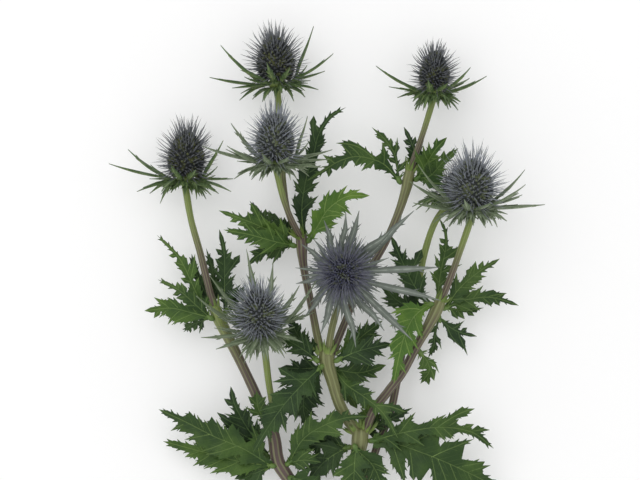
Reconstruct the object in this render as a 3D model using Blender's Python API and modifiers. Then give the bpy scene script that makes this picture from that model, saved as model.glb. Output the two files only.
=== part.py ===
"""Sea holly: one much-branched flowering stem with eight heads, cut and lying on its back.

The layout below is in millimetres: x to the right, y towards the flower heads, z up from the
surface that the stem lies on. ORIGIN is the middle of the plant's outline on that surface.
"""
import math
import random

import bmesh
import bpy
from mathutils import Matrix, Vector
from mathutils.geometry import delaunay_2d_cdt

MM = 0.001
ORIGIN = Vector((3.6, -84.3, 0.0))
UP = Vector((0.0, 0.0, 1.0))
GAP = 0.35                     # clear distance between neighbouring solids

BLADE = 0.65                   # thickness of a leaf or bract
LEAF_WIDTH = 1.22              # how much wider the blades are than the halves in LEAVES
SHEATH_RADIUS = 2.3            # the clasping foot that a leaf's blades grow from
NEEDLES = 44                   # spines on one cone, one beside each group of florets
NEEDLE_ROOT = 0.75             # radius of a spine's three-sided root
NEEDLE_REACH = 8.5             # a spine's length beside the cone
TOP_NEEDLE_REACH = 10.5        # a spine's length at the cone's tip
FLORET_RISE = 0.9              # how far the florets stand out between the spines
CONE_SEAT = 0.80               # clear distance between the hub and the cone
CONE_FLOOR = -0.74             # cosine where the cone's egg is cut off flat underneath
HUB_RADIUS = 5.4               # the disc under the cone, from which the bracts grow
HUB_HEIGHT = 4.2
HUB_MIDDLE = 2.9               # height of the hub's widest level
HUB_BULGE = 3.4                # half height of the egg that its side follows
UPPER_ROWS = (math.radians(17), math.radians(-6))       # latitudes of the long bracts on the hub
LOWER_ROW = math.radians(-40)
SMALL_BRACTS = 8               # short bracts bent back under each head
BRACT_SWEEP = 0.05             # share of its rise that a long bract has made at its bend
STEM_STEP = 17.0               # spacing of the rings along a stem

# Each head: where its stalk ends, its axis, the cone's length and radius, and the tips of its
# long bracts, measured from the stalk's end.
HEADS = {
    "head_1": ((-25.8, 91.2, 23.0), (-0.06, 0.99, 0.03), 25.5, 10.6,
               [(-34, 26, 8), (-41, 7, -6), (-27, 17, 15), (-27, 0, 9), (-23, -7, -9),
                (22, 38, -3), (34, 21, 6), (29, 11, -12), (25, -1, 9), (17, -5, -13),
                (-6, 15, 25), (8, 12, 24), (4, 10, -22.6), (-12, 6, -22.6)]),
    "head_2": ((-26.4, 43.2, 46.0), (-0.02, 0.97, 0.20), 26.5, 10.6,
               [(-27, 27, -8), (-44, 13, 4), (-29, 13, 14), (-25, -7, 9), (-16, -5, -13),
                (19, 31, 6), (34, 11, -6), (32, 5, 8), (20, -5, -12), (28, 0, 14),
                (-8, 8, 26), (8, 6, 25), (4, 12, -24), (-12, 8, -22)]),
    "head_3": ((-81.0, 33.0, 23.0), (0.03, 0.99, 0.03), 27.0, 10.2,
               [(-46, 13, 6), (-35, 22, -8), (-29, -4, 10), (-22, -5, -11), (-14, -4, 15),
                (23, 27, 8), (29, 4, -8), (28, -4, 12), (20, -5, -13), (18, -4, 14),
                (-8, 12, 26), (7, 9, 24), (-6, 9, -22.6), (9, 12, -22.6)]),
    "head_4": ((68.4, 85.8, 23.0), (0.03, 0.99, 0.06), 21.5, 8.0,
               [(-35, 19, 5), (-22, 0, -7), (-18, 7, 12), (-13, -3, 12),
                (22, 18, 9), (32, 13, 0), (22, 12, -10), (16, -3, 10), (12, -4, -11),
                (-4, 10, 21), (8, 8, 20), (-6, 8, -20), (7, 8, -21)]),
    "head_5": ((91.2, 16.2, 47.0), (-0.02, 0.97, 0.22), 26.5, 11.6,
               [(31, 26, 4), (31, 17, 14), (30, 11, -8), (43, 5, 6), (20, -5, 12), (16, -4, -12),
                (-33, 29, 12), (-38, 19, 2), (-36, 6, 12), (-24, -6, -4), (-16, -5, 13),
                (-6, 8, 27), (10, 6, 26), (14, 8, -20), (0, 4, -18)]),
    "head_6": ((-34.2, -57.0, 34.0), (-0.14, 0.82, 0.55), 26.0, 10.4,
               [(32, 33, 21), (-40, 24, 10), (-32, 36, 2), (-37, -1, 16), (-28, -8, 18),
                (-8, -12, 24), (10, -11, 22), (24, -4, 18), (31, 14, 4), (22, 30, -2),
                (-10, 52, -4), (6, 44, -12)]),
    "head_7": ((14.4, -20.2, 38.0), (-0.04, 0.06, 0.99), 25.0, 10.8,
               [(1, 37, 8), (9, 38, 12), (42, 38, 9), (57, 4, 9), (58, -16, 8), (41, -40, 6),
                (7, -44, 10), (-24, -26, 2), (-14, -36, 7), (-12, 32, 9), (-26, 18, 6),
                (-29, -6, 2), (30, 28, 15), (24, -34, 14)]),
    "head_8": ((76.4, 21.0, 19.0), (0.55, 0.83, 0.02), 21.0, 8.2,
               [(-21, -1, -6), (-19, -3, 8), (14, -8, -11), (24, -8, -5),
                (30, 6, -8), (-14, 18, -10), (-9, 8, -18.0), (10, 4, -18.0), (24, 18, -12),
                (-4, 12, 16)]),
}

# Each stem: rings of x, y, z and radius, smoothed between them. The first ring is the lower end.
STEMS = {
    "main_stem": [(6, -300, 4.1, 4.1), (8, -262, 4.6, 4.1), (9, -220, 7, 4.0), (9, -190, 10, 4.6),
                  (10, -182, 11, 5.2), (14, -170, 13, 4.0), (20, -145, 17, 3.8),
                  (23, -128, 19, 4.4), (24, -121, 20, 5.0), (24.2, -116.0, 20.3, 4.7)],
    "centre_branch": [(20.7, -113.9, 20.4, 3.0), (16, -107, 21, 3.3), (11.5, -98, 22, 3.4),
                      (7.5, -85, 23, 3.6), (4.8, -76, 24, 4.2), (4.2, -72, 24.1, 4.8),
                      (4.0, -68.0, 24.3, 4.5)],
    "left_branch": [(5.5, -175.6, 11.2, 2.9), (-10, -156, 12.5, 3.1), (-23, -138, 14, 4.2),
                    (-26, -131, 14.5, 4.0), (-28, -118, 16, 3.8), (-33, -106, 17, 3.2),
                    (-40, -90, 18, 2.9), (-49, -71, 20, 2.9), (-58, -53, 21, 3.5),
                    (-61.2, -46, 22, 3.9), (-63.3, -41.2, 22.2, 3.4)],
    "right_branch": [(27.6, -114.4, 20.6, 2.6), (32, -103, 21.5, 2.6), (41, -91, 22.5, 2.6),
                     (50, -79, 23.5, 2.6), (58, -64, 24, 2.5), (66, -50, 24, 3.2),
                     (70, -42, 24, 3.7), (72.3, -36.9, 25.3, 3.2)],
    "far_right_branch": [(19.9, -171.5, 10.4, 2.6), (27, -150, 10.2, 2.5), (34, -126, 10.5, 2.4),
                         (43, -102, 11.5, 2.4), (50, -66, 13, 2.2), (57, -38, 14, 2.1),
                         (62.5, -10, 15.5, 2.0), (68.5, 9, 17.4, 1.9), (76.0, 20.4, 19.0, 2.0)],
    "upper_branch": [(0.6, -67.2, 23.4, 2.5), (-2, -56, 22.6, 2.3), (-5.5, -38, 22, 2.2),
                     (-9.5, -18, 23, 2.3), (-10.8, -8, 24, 3.0), (-10.9, -2.5, 24.1, 3.4),
                     (-11.3, 1.8, 24.3, 3.2)],
    "upper_right_branch": [(7.8, -67.1, 23.0, 2.3), (14, -52, 21.0, 2.2), (24, -28, 20.5, 2.2),
                           (38, -4, 21, 2.2), (47, 16, 22, 2.3), (51.6, 30, 22, 2.9),
                           (52.8, 35.5, 22, 3.3), (54.0, 40.8, 22, 2.9)],
    "stalk_1": [(-13.0, 2.9, 22.6, 1.8), (-19, 16, 16, 1.8), (-22, 34, 11.5, 1.8),
                (-23.5, 58, 11, 1.8), (-24.5, 76, 15.5, 1.8), (-25.7, 90.4, 22.6, 2.0)],
    "stalk_2": [(-12.0, 2.7, 27.2, 1.8), (-17, 12, 34, 1.8), (-22, 25, 40.5, 1.8),
                (-26.2, 42.4, 45.7, 2.0)],
    "stalk_3": [(-63.6, -40.4, 22.2, 2.2), (-66.5, -30, 22, 2.1), (-72, -8, 22, 2.0),
                (-77.5, 12, 22.4, 1.9), (-81.0, 32.2, 23, 2.1)],
    "stalk_4": [(54.2, 41.6, 22, 2.0), (57, 50, 22, 1.8), (62.5, 66, 22.4, 1.7),
                (68.3, 85.0, 22.9, 1.9)],
    "stalk_5": [(72.6, -36.0, 25.6, 2.2), (77, -26, 29, 2.0), (84, -6, 38, 1.9),
                (91.1, 15.4, 46.6, 2.1)],
    "stalk_6": [(-28.4, -110.8, 21.2, 1.9), (-28.6, -100, 23.5, 1.9), (-31, -84, 28, 1.9),
                (-34.0, -57.9, 33.4, 2.1)],
    "stalk_7": [(4.9, -67.2, 27.4, 2.0), (7, -54, 28.0, 2.0), (11.5, -36, 27.5, 2.0),
                (14.0, -24.5, 29.5, 2.0), (14.4, -20.4, 37.2, 2.0)],
}

# Each leaf: its foot, then its blades. A blade has its path, which starts at the foot, its half
# width, its number of teeth a side, and its lobes: how far along, which side (1 is left of the
# path, -1 right), length, angle from the midrib, half width and teeth.
LEAVES = {
    "leaf_1_left": ((-17.0, -3.0, 25.5), [
        ([(-27, 4, 28), (-42, 10.8, 31), (-60, 17.4, 29)], 3.6, 3,
         [(0.42, -1, 15, 42, 2.2, 1), (0.62, 1, 6, 40, 1.4, 0)]),
        ([(-27, -1.0, 31), (-42, 3.2, 34), (-57, 6, 33)], 4.0, 2, [(0.45, -1, 9, 32, 1.8, 0)]),
        ([(-28, -6, 22), (-37, -9, 20), (-43, -15, 17)], 3.0, 2, []),
        ([(-25, 5, 21.5), (-34, 13, 19), (-42, 23, 16)], 3.4, 2, [(0.5, -1, 8, 40, 1.6, 0)]),
    ]),
    "leaf_1_back": ((-9.4, 1.0, 18.6), [
        ([(-11, 18, 18.5), (-8.5, 36, 20.5), (-4, 51, 23), (-0.6, 64, 24), (6, 74, 24),
          (15, 79.5, 22)], 4.4, 4, [(0.66, 1, 15, 30, 1.9, 1), (0.30, 1, 10, 45, 1.8, 0)]),
        ([(-19, 6, 15.6), (-27, 13, 14), (-33, 17.5, 13)], 2.2, 1, [(0.5, 1, 6, 40, 1.2, 0)])]),
    "leaf_1_right": ((-6.0, 0.8, 26.9), [
        ([(-1, 9, 29), (5, 18.5, 31), (16, 26, 32), (29, 26.6, 29)], 5.2, 3,
         [(0.36, 1, 13, 38, 2.6, 0), (0.55, -1, 12, 62, 2.4, 0), (0.72, 1, 8, 24, 1.6, 0)])]),
    "leaf_2_left": ((47.2, 36.4, 23.5), [
        ([(39, 45, 27), (31, 48.6, 30), (21, 50, 32), (11, 47, 32.6), (2, 41.5, 31.5),
          (-7, 36, 29)], 3.6, 4,
         [(0.30, -1, 22, 28, 2.4, 1), (0.20, -1, 12, 62, 2.0, 0), (0.52, -1, 8, 64, 1.6, 0),
          (0.70, -1, 8, 70, 1.6, 0)]),
        ([(45.5, 50, 20), (40, 59.5, 19), (31.8, 67.4, 17)], 2.1, 1, [(0.42, -1, 9, 42, 1.2, 0)]),
    ]),
    "leaf_2_back": ((53.6, 38.6, 16.4), [
        ([(57.5, 49, 15), (55.8, 57, 15), (51, 67.4, 14)], 2.8, 2,
         [(0.30, -1, 17, 30, 1.4, 1), (0.2, 1, 8, 46, 1.2, 0)])]),
    "leaf_2_right": ((58.6, 37.0, 23.5), [
        ([(64, 46, 30), (69, 54, 35), (75.4, 60.8, 37)], 4.2, 2, [(0.35, -1, 12, 26, 1.8, 0)]),
        ([(66, 38.4, 31), (73, 46, 40.5), (82, 54.4, 43)], 4.2, 2, [(0.5, 1, 8, 34, 1.4, 0)])]),
    "leaf_3_left": ((-66.4, -46.6, 25.0), [
        ([(-73.5, -34, 22), (-82.8, -14, 19), (-90, -5, 16), (-98, 2.6, 12)], 2.6, 3,
         [(0.42, -1, 14, 38, 2.2, 0)]),
        ([(-75, -38.6, 27), (-85, -30, 27), (-97, -24, 23)], 2.4, 2, [(0.5, -1, 7, 36, 1.3, 0)]),
        ([(-78, -43.5, 24), (-90, -41.0, 22), (-105, -42.6, 17)], 4.8, 3,
         [(0.62, -1, 10, 42, 2.0, 0)]),
        ([(-73, -49.4, 21), (-78, -51.6, 17), (-82, -55.2, 12)], 2.0, 1, [])]),
    "leaf_3_back": ((-63.0, -42.6, 16.0), [
        ([(-70, -30, 15), (-75, -19, 13), (-77.4, -9, 10)], 3.8, 2, [(0.4, 1, 9, 30, 1.6, 0)]),
        ([(-64, -30, 14), (-65, -18, 13), (-68.6, -5.6, 11)], 2.0, 1, [])]),
    "leaf_3_right": ((-56.6, -43.0, 20.0), [
        ([(-57.5, -30, 18), (-57.4, -16, 18), (-58, -5, 19), (-60.4, 5.4, 21)], 3.8, 3,
         [(0.42, -1, 15, 36, 2.2, 1)]),
        ([(-50, -36, 16), (-46, -28, 14)], 3.0, 1, [])]),
    "leaf_4_up": ((70.4, -37.0, 19.4), [
        ([(72.6, -20, 20), (75.6, -5, 22), (75.4, 5, 23.6), (72, 12.4, 24.6)], 2.6, 3,
         [(0.50, -1, 14, 44, 1.9, 0), (0.34, -1, 13, 56, 1.6, 0), (0.36, 1, 10, 34, 1.3, 0)])]),
    "leaf_4_left": ((65.6, -38.6, 25.6), [
        ([(57, -28, 23), (50, -14, 21), (43, 2, 20)], 4.6, 3,
         [(0.44, -1, 17, 50, 3.0, 1), (0.3, 1, 10, 40, 1.8, 0)]),
        ([(56.5, -46, 29), (50.5, -58, 30.5), (47, -72, 31), (44.4, -85.4, 29)], 6.0, 3,
         [(0.52, -1, 9, 34, 2.6, 0), (0.46, 1, 13, 30, 2.6, 0)]),
        ([(57, -41, 19), (46, -36, 15), (38, -27, 12)], 5.2, 2, [(0.4, -1, 10, 44, 2.0, 0)])]),
    "leaf_4_right": ((75.8, -40.6, 21.6), [
        ([(84, -29, 23), (95, -19.5, 24), (107.6, -11.6, 22)], 3.6, 3,
         [(0.46, 1, 12, 30, 1.9, 0), (0.24, 1, 11, 44, 1.9, 0), (0.55, -1, 8, 34, 1.5, 0)]),
        ([(87, -36.4, 20), (99, -34.4, 20), (108, -35.6, 19), (119, -39.2, 16)], 3.4, 3,
         [(0.56, 1, 11, 22, 1.7, 0), (0.25, 1, 8, 36, 1.4, 0)]),
        ([(87, -42.6, 17), (98, -41, 14)], 1.8, 1, [])]),
    "leaf_4_lower": ((71.6, -47.0, 19.4), [
        ([(79, -53, 17), (85.5, -56, 15), (94, -58, 12)], 2.3, 2,
         [(0.40, 1, 8, 58, 1.3, 0), (0.55, -1, 14, 56, 1.4, 0), (0.22, -1, 15, 34, 1.3, 0)]),
        ([(69.2, -57, 17), (68.6, -64, 15), (65.4, -71, 12)], 1.7, 1, [(0.4, 1, 8, 34, 1.1, 0)])]),
    "leaf_4_stem": ((60.2, -67.8, 20.8), [
        ([(64.5, -73, 21), (65.8, -79, 20), (61, -86, 16)], 3.0, 1, [(0.5, 1, 6, 50, 1.4, 0)])]),
    "leaf_5_left": ((-2.8, -71.4, 26.4), [
        ([(-9, -66.5, 26), (-18, -61.0, 23), (-26.6, -57.4, 18)], 3.8, 2, []),
        ([(-11, -61, 20), (-19, -47, 13)], 3.8, 1, [(0.5, 1, 9, 30, 1.8, 0)])]),
    "leaf_5_front": ((0.0, -76.8, 28.4), [
        ([(-11, -87, 35), (-21, -98, 37), (-31, -112, 35), (-39.6, -126.4, 29)], 6.6, 4,
         [(0.22, -1, 17, 76, 2.4, 1), (0.34, -1, 14, 48, 2.2, 0), (0.30, 1, 12, 44, 2.4, 0),
          (0.14, 1, 12, 62, 1.7, 0), (0.62, 1, 9, 30, 2.0, 0)])]),
    "leaf_5_back": ((0.4, -76.6, 19.8), [
        ([(-10, -77.5, 18), (-23, -77, 15)], 3.8, 2, [(0.5, -1, 8, 40, 1.6, 0)]),
        ([(-8, -89, 17), (-10, -102, 16), (-6, -115, 15)], 7.0, 3,
         [(0.30, -1, 12, 50, 2.2, 0), (0.44, 1, 12, 44, 2.2, 0)])]),
    "leaf_5_right": ((11.2, -71.6, 26.6), [
        ([(24, -66.4, 28), (42, -62.4, 25)], 5.6, 3, [(0.4, 1, 12, 34, 2.2, 0)]),
        ([(24, -59, 23.6), (37, -49, 18)], 5.2, 2, [(0.45, -1, 10, 34, 1.9, 0)])]),
    "leaf_5_lower": ((8.8, -77.8, 18.6), [
        ([(16, -87, 24), (27, -94.5, 30), (38, -104, 34), (46.4, -118.2, 34)], 3.6, 2,
         [(0.60, 1, 16, 42, 2.4, 1), (0.3, -1, 7, 36, 1.4, 0)]),
        ([(24, -80, 17), (39, -75.6, 15)], 4.6, 2, [(0.4, -1, 9, 44, 1.8, 0)]),
        ([(15, -89, 15), (22, -101, 12)], 5.4, 2, [(0.4, 1, 10, 40, 2.0, 0)])]),
    "leaf_6_right": ((31.7, -120.8, 21.0), [
        ([(46, -122.6, 24), (72, -132, 26), (98, -144.4, 21), (110, -152, 15)], 11.5, 5,
         [(0.26, -1, 19, 62, 2.4, 1), (0.42, -1, 19, 56, 2.8, 1), (0.70, -1, 15, 40, 2.6, 1)]),
        ([(50, -115.6, 29), (72, -112.4, 30), (91, -115.4, 27), (104, -125, 22)], 5.0, 3,
         [(0.52, 1, 22, 38, 3.4, 1), (0.78, 1, 10, 40, 2.0, 0)])]),
    "leaf_6_back": ((25.4, -116.6, 13.0), [
        ([(29.5, -104, 12), (27, -92, 9)], 4.4, 2, [(0.35, 1, 8, 34, 1.8, 0)]),
        ([(40, -109, 16.8), (55, -101.6, 15)], 2.8, 1, [])]),
    "leaf_6_left": ((16.6, -125.0, 18.0), [
        ([(3, -122, 16), (-10, -126, 14)], 5.2, 2, [(0.4, -1, 9, 44, 2.0, 0)]),
        ([(6, -131, 16.5), (-3, -140, 16), (-7, -150, 17)], 5.6, 3,
         [(0.36, 1, 9, 44, 2.4, 0), (0.36, -1, 13, 46, 2.4, 0)])]),
    "leaf_6_lower": ((21.4, -125.4, 26.6), [
        ([(32, -136, 25), (38, -150, 22)], 5.4, 2, [(0.4, 1, 10, 40, 2.0, 0)]),
        ([(20.6, -138, 29), (19.6, -156, 27)], 6.6, 3,
         [(0.40, 1, 14, 44, 2.6, 1), (0.26, -1, 14, 56, 2.4, 1)])]),
    "leaf_7_left": ((-29.5, -136.0, 18.1), [
        ([(-46, -125.6, 23), (-63, -118.4, 25), (-81, -109.4, 22), (-96.6, -102.4, 16)], 7.4, 5,
         [(0.34, -1, 13, 40, 2.6, 0), (0.52, -1, 10, 36, 2.4, 0)]),
        ([(-50, -133, 20), (-72, -127.4, 15), (-94, -121.8, 10)], 6.6, 3,
         [(0.66, 1, 9, 36, 2.6, 0)]),
        ([(-42, -141, 17), (-56.6, -136.8, 10)], 3.6, 2, [(0.4, 1, 8, 36, 1.6, 0)])]),
    "leaf_7_up": ((-32.2, -130.0, 12.6), [
        ([(-44, -113, 17), (-51.4, -99, 19), (-53.6, -89, 18)], 5.0, 3,
         [(0.20, 1, 26, 26, 2.1, 1), (0.40, 1, 20, 34, 1.6, 1), (0.40, -1, 10, 34, 1.8, 0),
          (0.16, -1, 13, 34, 1.9, 0)])]),
    "leaf_7_right": ((-18.8, -134.4, 17.0), [
        ([(-10, -119.6, 24), (3, -111, 29), (16, -106.6, 31), (28.4, -106.0, 29)], 5.2, 4,
         [(0.42, -1, 20, 28, 2.8, 1), (0.2, 1, 13, 40, 2.2, 0)]),
        ([(-10, -132.4, 22), (-0.4, -133.6, 21)], 3.8, 2, [])]),
    "leaf_7_lower": ((-16.6, -143.6, 18.8), [
        ([(-11, -144.6, 22), (2, -151.6, 18)], 6.0, 3, [(0.4, 1, 8, 36, 2.4, 0)])]),
    "leaf_fork": ((-33.8, -108.4, 22.5), [
        ([(-37.4, -100, 26), (-38, -91.6, 25)], 3.6, 1, [(0.32, -1, 8, 40, 1.5, 0)])]),
    "leaf_8_left": ((2.0, -184.4, 10.4), [
        ([(-14, -190, 13), (-34, -203, 14), (-54, -222, 8)], 11.0, 4,
         [(0.36, 1, 18, 50, 3.0, 1), (0.36, -1, 18, 46, 3.0, 1), (0.62, 1, 13, 40, 2.4, 0)])]),
    "leaf_8_right": ((17.6, -184.8, 10.6), [
        ([(32, -188, 13), (52, -200, 14), (72, -219, 8)], 11.0, 4,
         [(0.36, 1, 18, 46, 3.0, 1), (0.36, -1, 18, 50, 3.0, 1), (0.62, -1, 13, 40, 2.4, 0)])]),
}


def material(name, colour, roughness):
    """A plain surface with one colour."""
    mat = bpy.data.materials.new(name)
    mat.use_nodes = True
    shader = mat.node_tree.nodes["Principled BSDF"]
    shader.inputs["Base Color"].default_value = (*colour, 1.0)
    shader.inputs["Roughness"].default_value = roughness
    shader.inputs["Metallic"].default_value = 0.0
    return mat


def smooth_path(rows, step):
    """Points about step apart on a smooth curve through the rows, which may hold a radius too."""
    rows = [list(row) for row in rows]
    ends = [[2 * a - b for a, b in zip(rows[0], rows[1])]]
    ends.append([2 * a - b for a, b in zip(rows[-1], rows[-2])])
    padded = [ends[0]] + rows + [ends[1]]
    out = []
    for k in range(1, len(padded) - 2):
        p0, p1, p2, p3 = padded[k - 1:k + 3]
        count = max(1, round(math.dist(p1[:3], p2[:3]) / step))
        for i in range(count):
            t = i / count
            out.append([0.5 * (2 * b + (c - a) * t + (2 * a - 5 * b + 4 * c - d) * t * t
                               + (3 * b - a - 3 * c + d) * t ** 3)
                        for a, b, c, d in zip(p0, p1, p2, p3)])
    out.append(rows[-1])
    return out


def place(point):
    """A layout point in the part's own frame, in metres."""
    return (Vector(point) - ORIGIN) * MM


def add_object(name, mesh, mat, collection):
    obj = bpy.data.objects.new(name, mesh)
    obj.data.materials.append(mat)
    collection.objects.link(obj)
    return obj


def closed(mesh):
    """Whether every edge of the mesh lies between two faces."""
    bm = bmesh.new()
    bm.from_mesh(mesh)
    result = all(len(edge.link_faces) == 2 for edge in bm.edges)
    bm.free()
    return result


def fuse(body, pieces, collection):
    """Join the pieces to the body with one Boolean union, and remove them."""
    group = bpy.data.collections.new(body.name + "_pieces")
    bpy.context.scene.collection.children.link(group)
    for piece in pieces:
        collection.objects.unlink(piece)
        group.objects.link(piece)
    union = body.modifiers.new("union", "BOOLEAN")
    union.operation = "UNION"
    union.operand_type = "COLLECTION"
    union.collection = group
    for solver in ("EXACT", "MANIFOLD"):
        union.solver = solver
        depsgraph = bpy.context.evaluated_depsgraph_get()
        mesh = bpy.data.meshes.new_from_object(body.evaluated_get(depsgraph))
        if closed(mesh):
            break
    body.modifiers.clear()
    old = body.data
    body.data = mesh
    mesh.name = body.name
    bpy.data.meshes.remove(old)
    for piece in pieces:
        bpy.data.objects.remove(piece)
    bpy.data.collections.remove(group)


def build_stem(name, rows, mat, collection):
    """A round stem through its rings, with filled ends."""
    data = bpy.data.curves.new(name, "CURVE")
    data.dimensions = "3D"
    data.bevel_depth = MM
    data.bevel_resolution = 2 if rows[0][3] > 2.2 else 1
    data.use_fill_caps = True
    points = smooth_path(rows, STEM_STEP)
    spline = data.splines.new("POLY")
    spline.points.add(len(points) - 1)
    for slot, (x, y, z, radius) in zip(spline.points, points):
        slot.co = (*place((x, y, z)), 1.0)
        slot.radius = radius
    return add_object(name, data, mat, collection)


def toothed_outline(length, half, teeth, bite):
    """A blade's outline as (s, w) pairs, with teeth that point towards its tip."""
    def width(t):
        widest = 0.4
        if t < widest:
            return half * (0.32 + 0.68 * math.sin(0.5 * math.pi * t / widest))
        return half * (1.0 - ((t - widest) / (1.0 - widest)) ** 1.7)

    side = [(0.0, width(0.0))]
    step = 0.9 / max(teeth, 1)
    for k in range(teeth):
        notch = 0.08 + k * step
        point = notch + 0.78 * step
        side.append((notch * length, width(notch) * (1.0 - bite)))
        side.append((point * length, width(point) * (1.0 + 0.4 * bite) + 0.25))
    if teeth == 0:
        side.append((0.4 * length, width(0.4)))
    return side + [(length, 0.0)] + [(s, -w) for s, w in reversed(side)]


def blade_outlines(length, half, teeth, lobes):
    """The outlines of a blade and of its lobes, laid out flat along the midrib."""
    outlines = [toothed_outline(length, half * LEAF_WIDTH, teeth, 0.34)]
    for along, side, reach, angle, lobe_half, lobe_teeth in lobes:
        turn = math.radians(angle)
        lobe = toothed_outline(reach, lobe_half * LEAF_WIDTH, lobe_teeth, 0.3)
        outlines.append([(along * length + s * math.cos(turn) - w * math.sin(turn),
                          side * (s * math.sin(turn) + w * math.cos(turn))) for s, w in lobe])
    return outlines


def united_triangles(outlines, rib_length, rib_steps):
    """Triangles of the outlines' union, with the midrib as one of its edges."""
    verts, edges, faces = [], [], []
    for outline in outlines:
        area = sum(a[0] * b[1] - b[0] * a[1] for a, b in zip(outline, outline[1:] + outline[:1]))
        loop = outline if area > 0 else outline[::-1]
        faces.append(list(range(len(verts), len(verts) + len(loop))))
        verts += [Vector(p) for p in loop]
    start = len(verts)
    verts += [Vector((rib_length * i / rib_steps, 0.0)) for i in range(rib_steps + 1)]
    edges += [(start + i, start + i + 1) for i in range(rib_steps)]
    flat, _, tris, *_ = delaunay_2d_cdt(verts, edges, faces, 1, 0.08)
    return flat, tris


class Rib:
    """The smooth line along the middle of a blade, with the directions across and out of it."""

    def __init__(self, path, across):
        self.points = [Vector(p[:3]) for p in smooth_path(path, 2.0)]
        self.reach = [0.0]
        for a, b in zip(self.points, self.points[1:]):
            self.reach.append(self.reach[-1] + (b - a).length)
        self.length = self.reach[-1]
        self.across = across

    def at(self, s):
        inner = min(max(s, 0.0), self.length - 1e-6)
        k = max(i for i in range(len(self.points) - 1) if self.reach[i] <= inner)
        a, b = self.points[k], self.points[k + 1]
        along = (b - a).normalized()
        point = a + along * (s - self.reach[k])
        before = self.points[max(k - 1, 0)]
        after = self.points[min(k + 2, len(self.points) - 1)]
        side = self.across((after - before).normalized())
        return point, side, along.cross(side).normalized()


def flat_across(along):
    """Across a leaf: level, and to the left of its path."""
    return UP.cross(along).normalized()


def build_blade(name, rib, outlines, fold, wave, mat, collection):
    """A thin blade on its rib: folded a little along the midrib and waved at its edge."""
    steps = max(2, round(rib.length / 14.0))
    flat, tris = united_triangles(outlines, rib.length, steps)
    mesh = bpy.data.meshes.new(name)
    verts = []
    for s, w in flat:
        point, side, out = rib.at(s)
        lift = abs(w) * fold + wave * math.sin(0.42 * s + (1.3 if w > 0 else 0.0)) * min(1.0, abs(w) / 4)
        verts.append(place(point + side * w + out * lift))
    mesh.from_pydata(verts, [], tris)
    obj = add_object(name, mesh, mat, collection)
    shell = obj.modifiers.new("thickness", "SOLIDIFY")
    shell.thickness = BLADE * MM
    shell.offset = 0.0
    return obj


def build_leaf(name, foot, blades, mat, collection):
    """One leaf: its blades spread like fingers from a clasping foot."""
    mesh = bpy.data.meshes.new(name)
    bm = bmesh.new()
    bmesh.ops.create_uvsphere(bm, u_segments=4, v_segments=2, radius=SHEATH_RADIUS * MM,
                              matrix=Matrix.Translation(place(foot)))
    bm.to_mesh(mesh)
    bm.free()
    body = add_object(name, mesh, mat, collection)
    pieces = []
    for k, (path, half, teeth, lobes) in enumerate(blades):
        start = Vector(foot) + (Vector(path[0]) - Vector(foot)).normalized() * 0.6
        rib = Rib([tuple(start)] + path, flat_across)
        outlines = blade_outlines(rib.length, half, teeth, lobes)
        pieces.append(build_blade(f"{name}_blade_{k}", rib, outlines, 0.16, 0.5, mat, collection))
    fuse(body, pieces, collection)
    return body


def head_frame(axis):
    """Two directions square to a head's axis."""
    axis = Vector(axis).normalized()
    side = axis.cross(UP)
    if side.length < 0.3:
        side = axis.cross(Vector((0.0, 1.0, 0.0)))
    side.normalize()
    return axis, side, axis.cross(side)


def bract_lines(base, axis, side, other, tips, cone_length, cone_radius, rng):
    """Each bract's root angle and row on the hub, and the line that it follows to its tip.

    The long bracts stand in two rows in the order of their tips, and the short ones below them.
    """
    rise = cone_length / (1.0 - CONE_FLOOR)
    middle = HUB_HEIGHT + CONE_SEAT - CONE_FLOOR * rise
    aims = []
    for tip in tips:
        tip = Vector(tip)
        height = tip.dot(axis)
        out = tip - axis * height
        aims.append((math.atan2(out.dot(other), out.dot(side)), out.length, height))
    aims.sort()
    count = len(aims)
    drift = [angle - math.tau * i / count for i, (angle, _, _) in enumerate(aims)]
    first = sum(drift) / count
    lines = []
    for i, (angle, reach, height) in enumerate(aims):
        root = first + math.tau * i / count
        row = UPPER_ROWS[i % 2]
        start = (3.8, HUB_MIDDLE + HUB_BULGE * math.sin(row))
        bend_height = start[1] + BRACT_SWEEP * (height - start[1])
        bend = (max(0.5 * reach, min(cone_radius + 2.0, 0.8 * reach)), bend_height)
        points = []
        for k in range(11):
            t = k / 10
            mix = ((1 - t) ** 2, 2 * t * (1 - t), t * t)
            r = mix[0] * start[0] + mix[1] * bend[0] + mix[2] * reach
            h = mix[0] * start[1] + mix[1] * bend[1] + mix[2] * height
            level = (h - middle) / rise
            if h > HUB_HEIGHT - 0.8 and abs(level) < 1.0:
                r = max(r, cone_radius * math.sqrt(1.0 - level * level) + 3.6)
            a = root + (angle - root) * min(1.0, t / 0.7)
            out = side * math.cos(a) + other * math.sin(a)
            points.append((base + out * r + axis * h, axis.cross(out)))
        lines.append((root, row, points, True))
    turn = rng.uniform(0, 1)
    for i in range(SMALL_BRACTS):
        root = math.tau * (i + turn) / SMALL_BRACTS
        out = side * math.cos(root) + other * math.sin(root)
        reach = rng.uniform(12, 16)
        drop = rng.uniform(4, 8)
        fall = (out * reach - axis * drop).z
        if base.z + fall < 0.8:
            reach *= (base.z - 0.8) / -fall
        points = []
        for k in range(6):
            t = k / 5
            r = 3.5 + (reach - 3.5) * t
            h = 0.7 - (drop + 0.7) * t * t
            points.append((base + out * r + axis * h, axis.cross(out)))
        lines.append((root, LOWER_ROW, points, False))
    return lines


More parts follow.
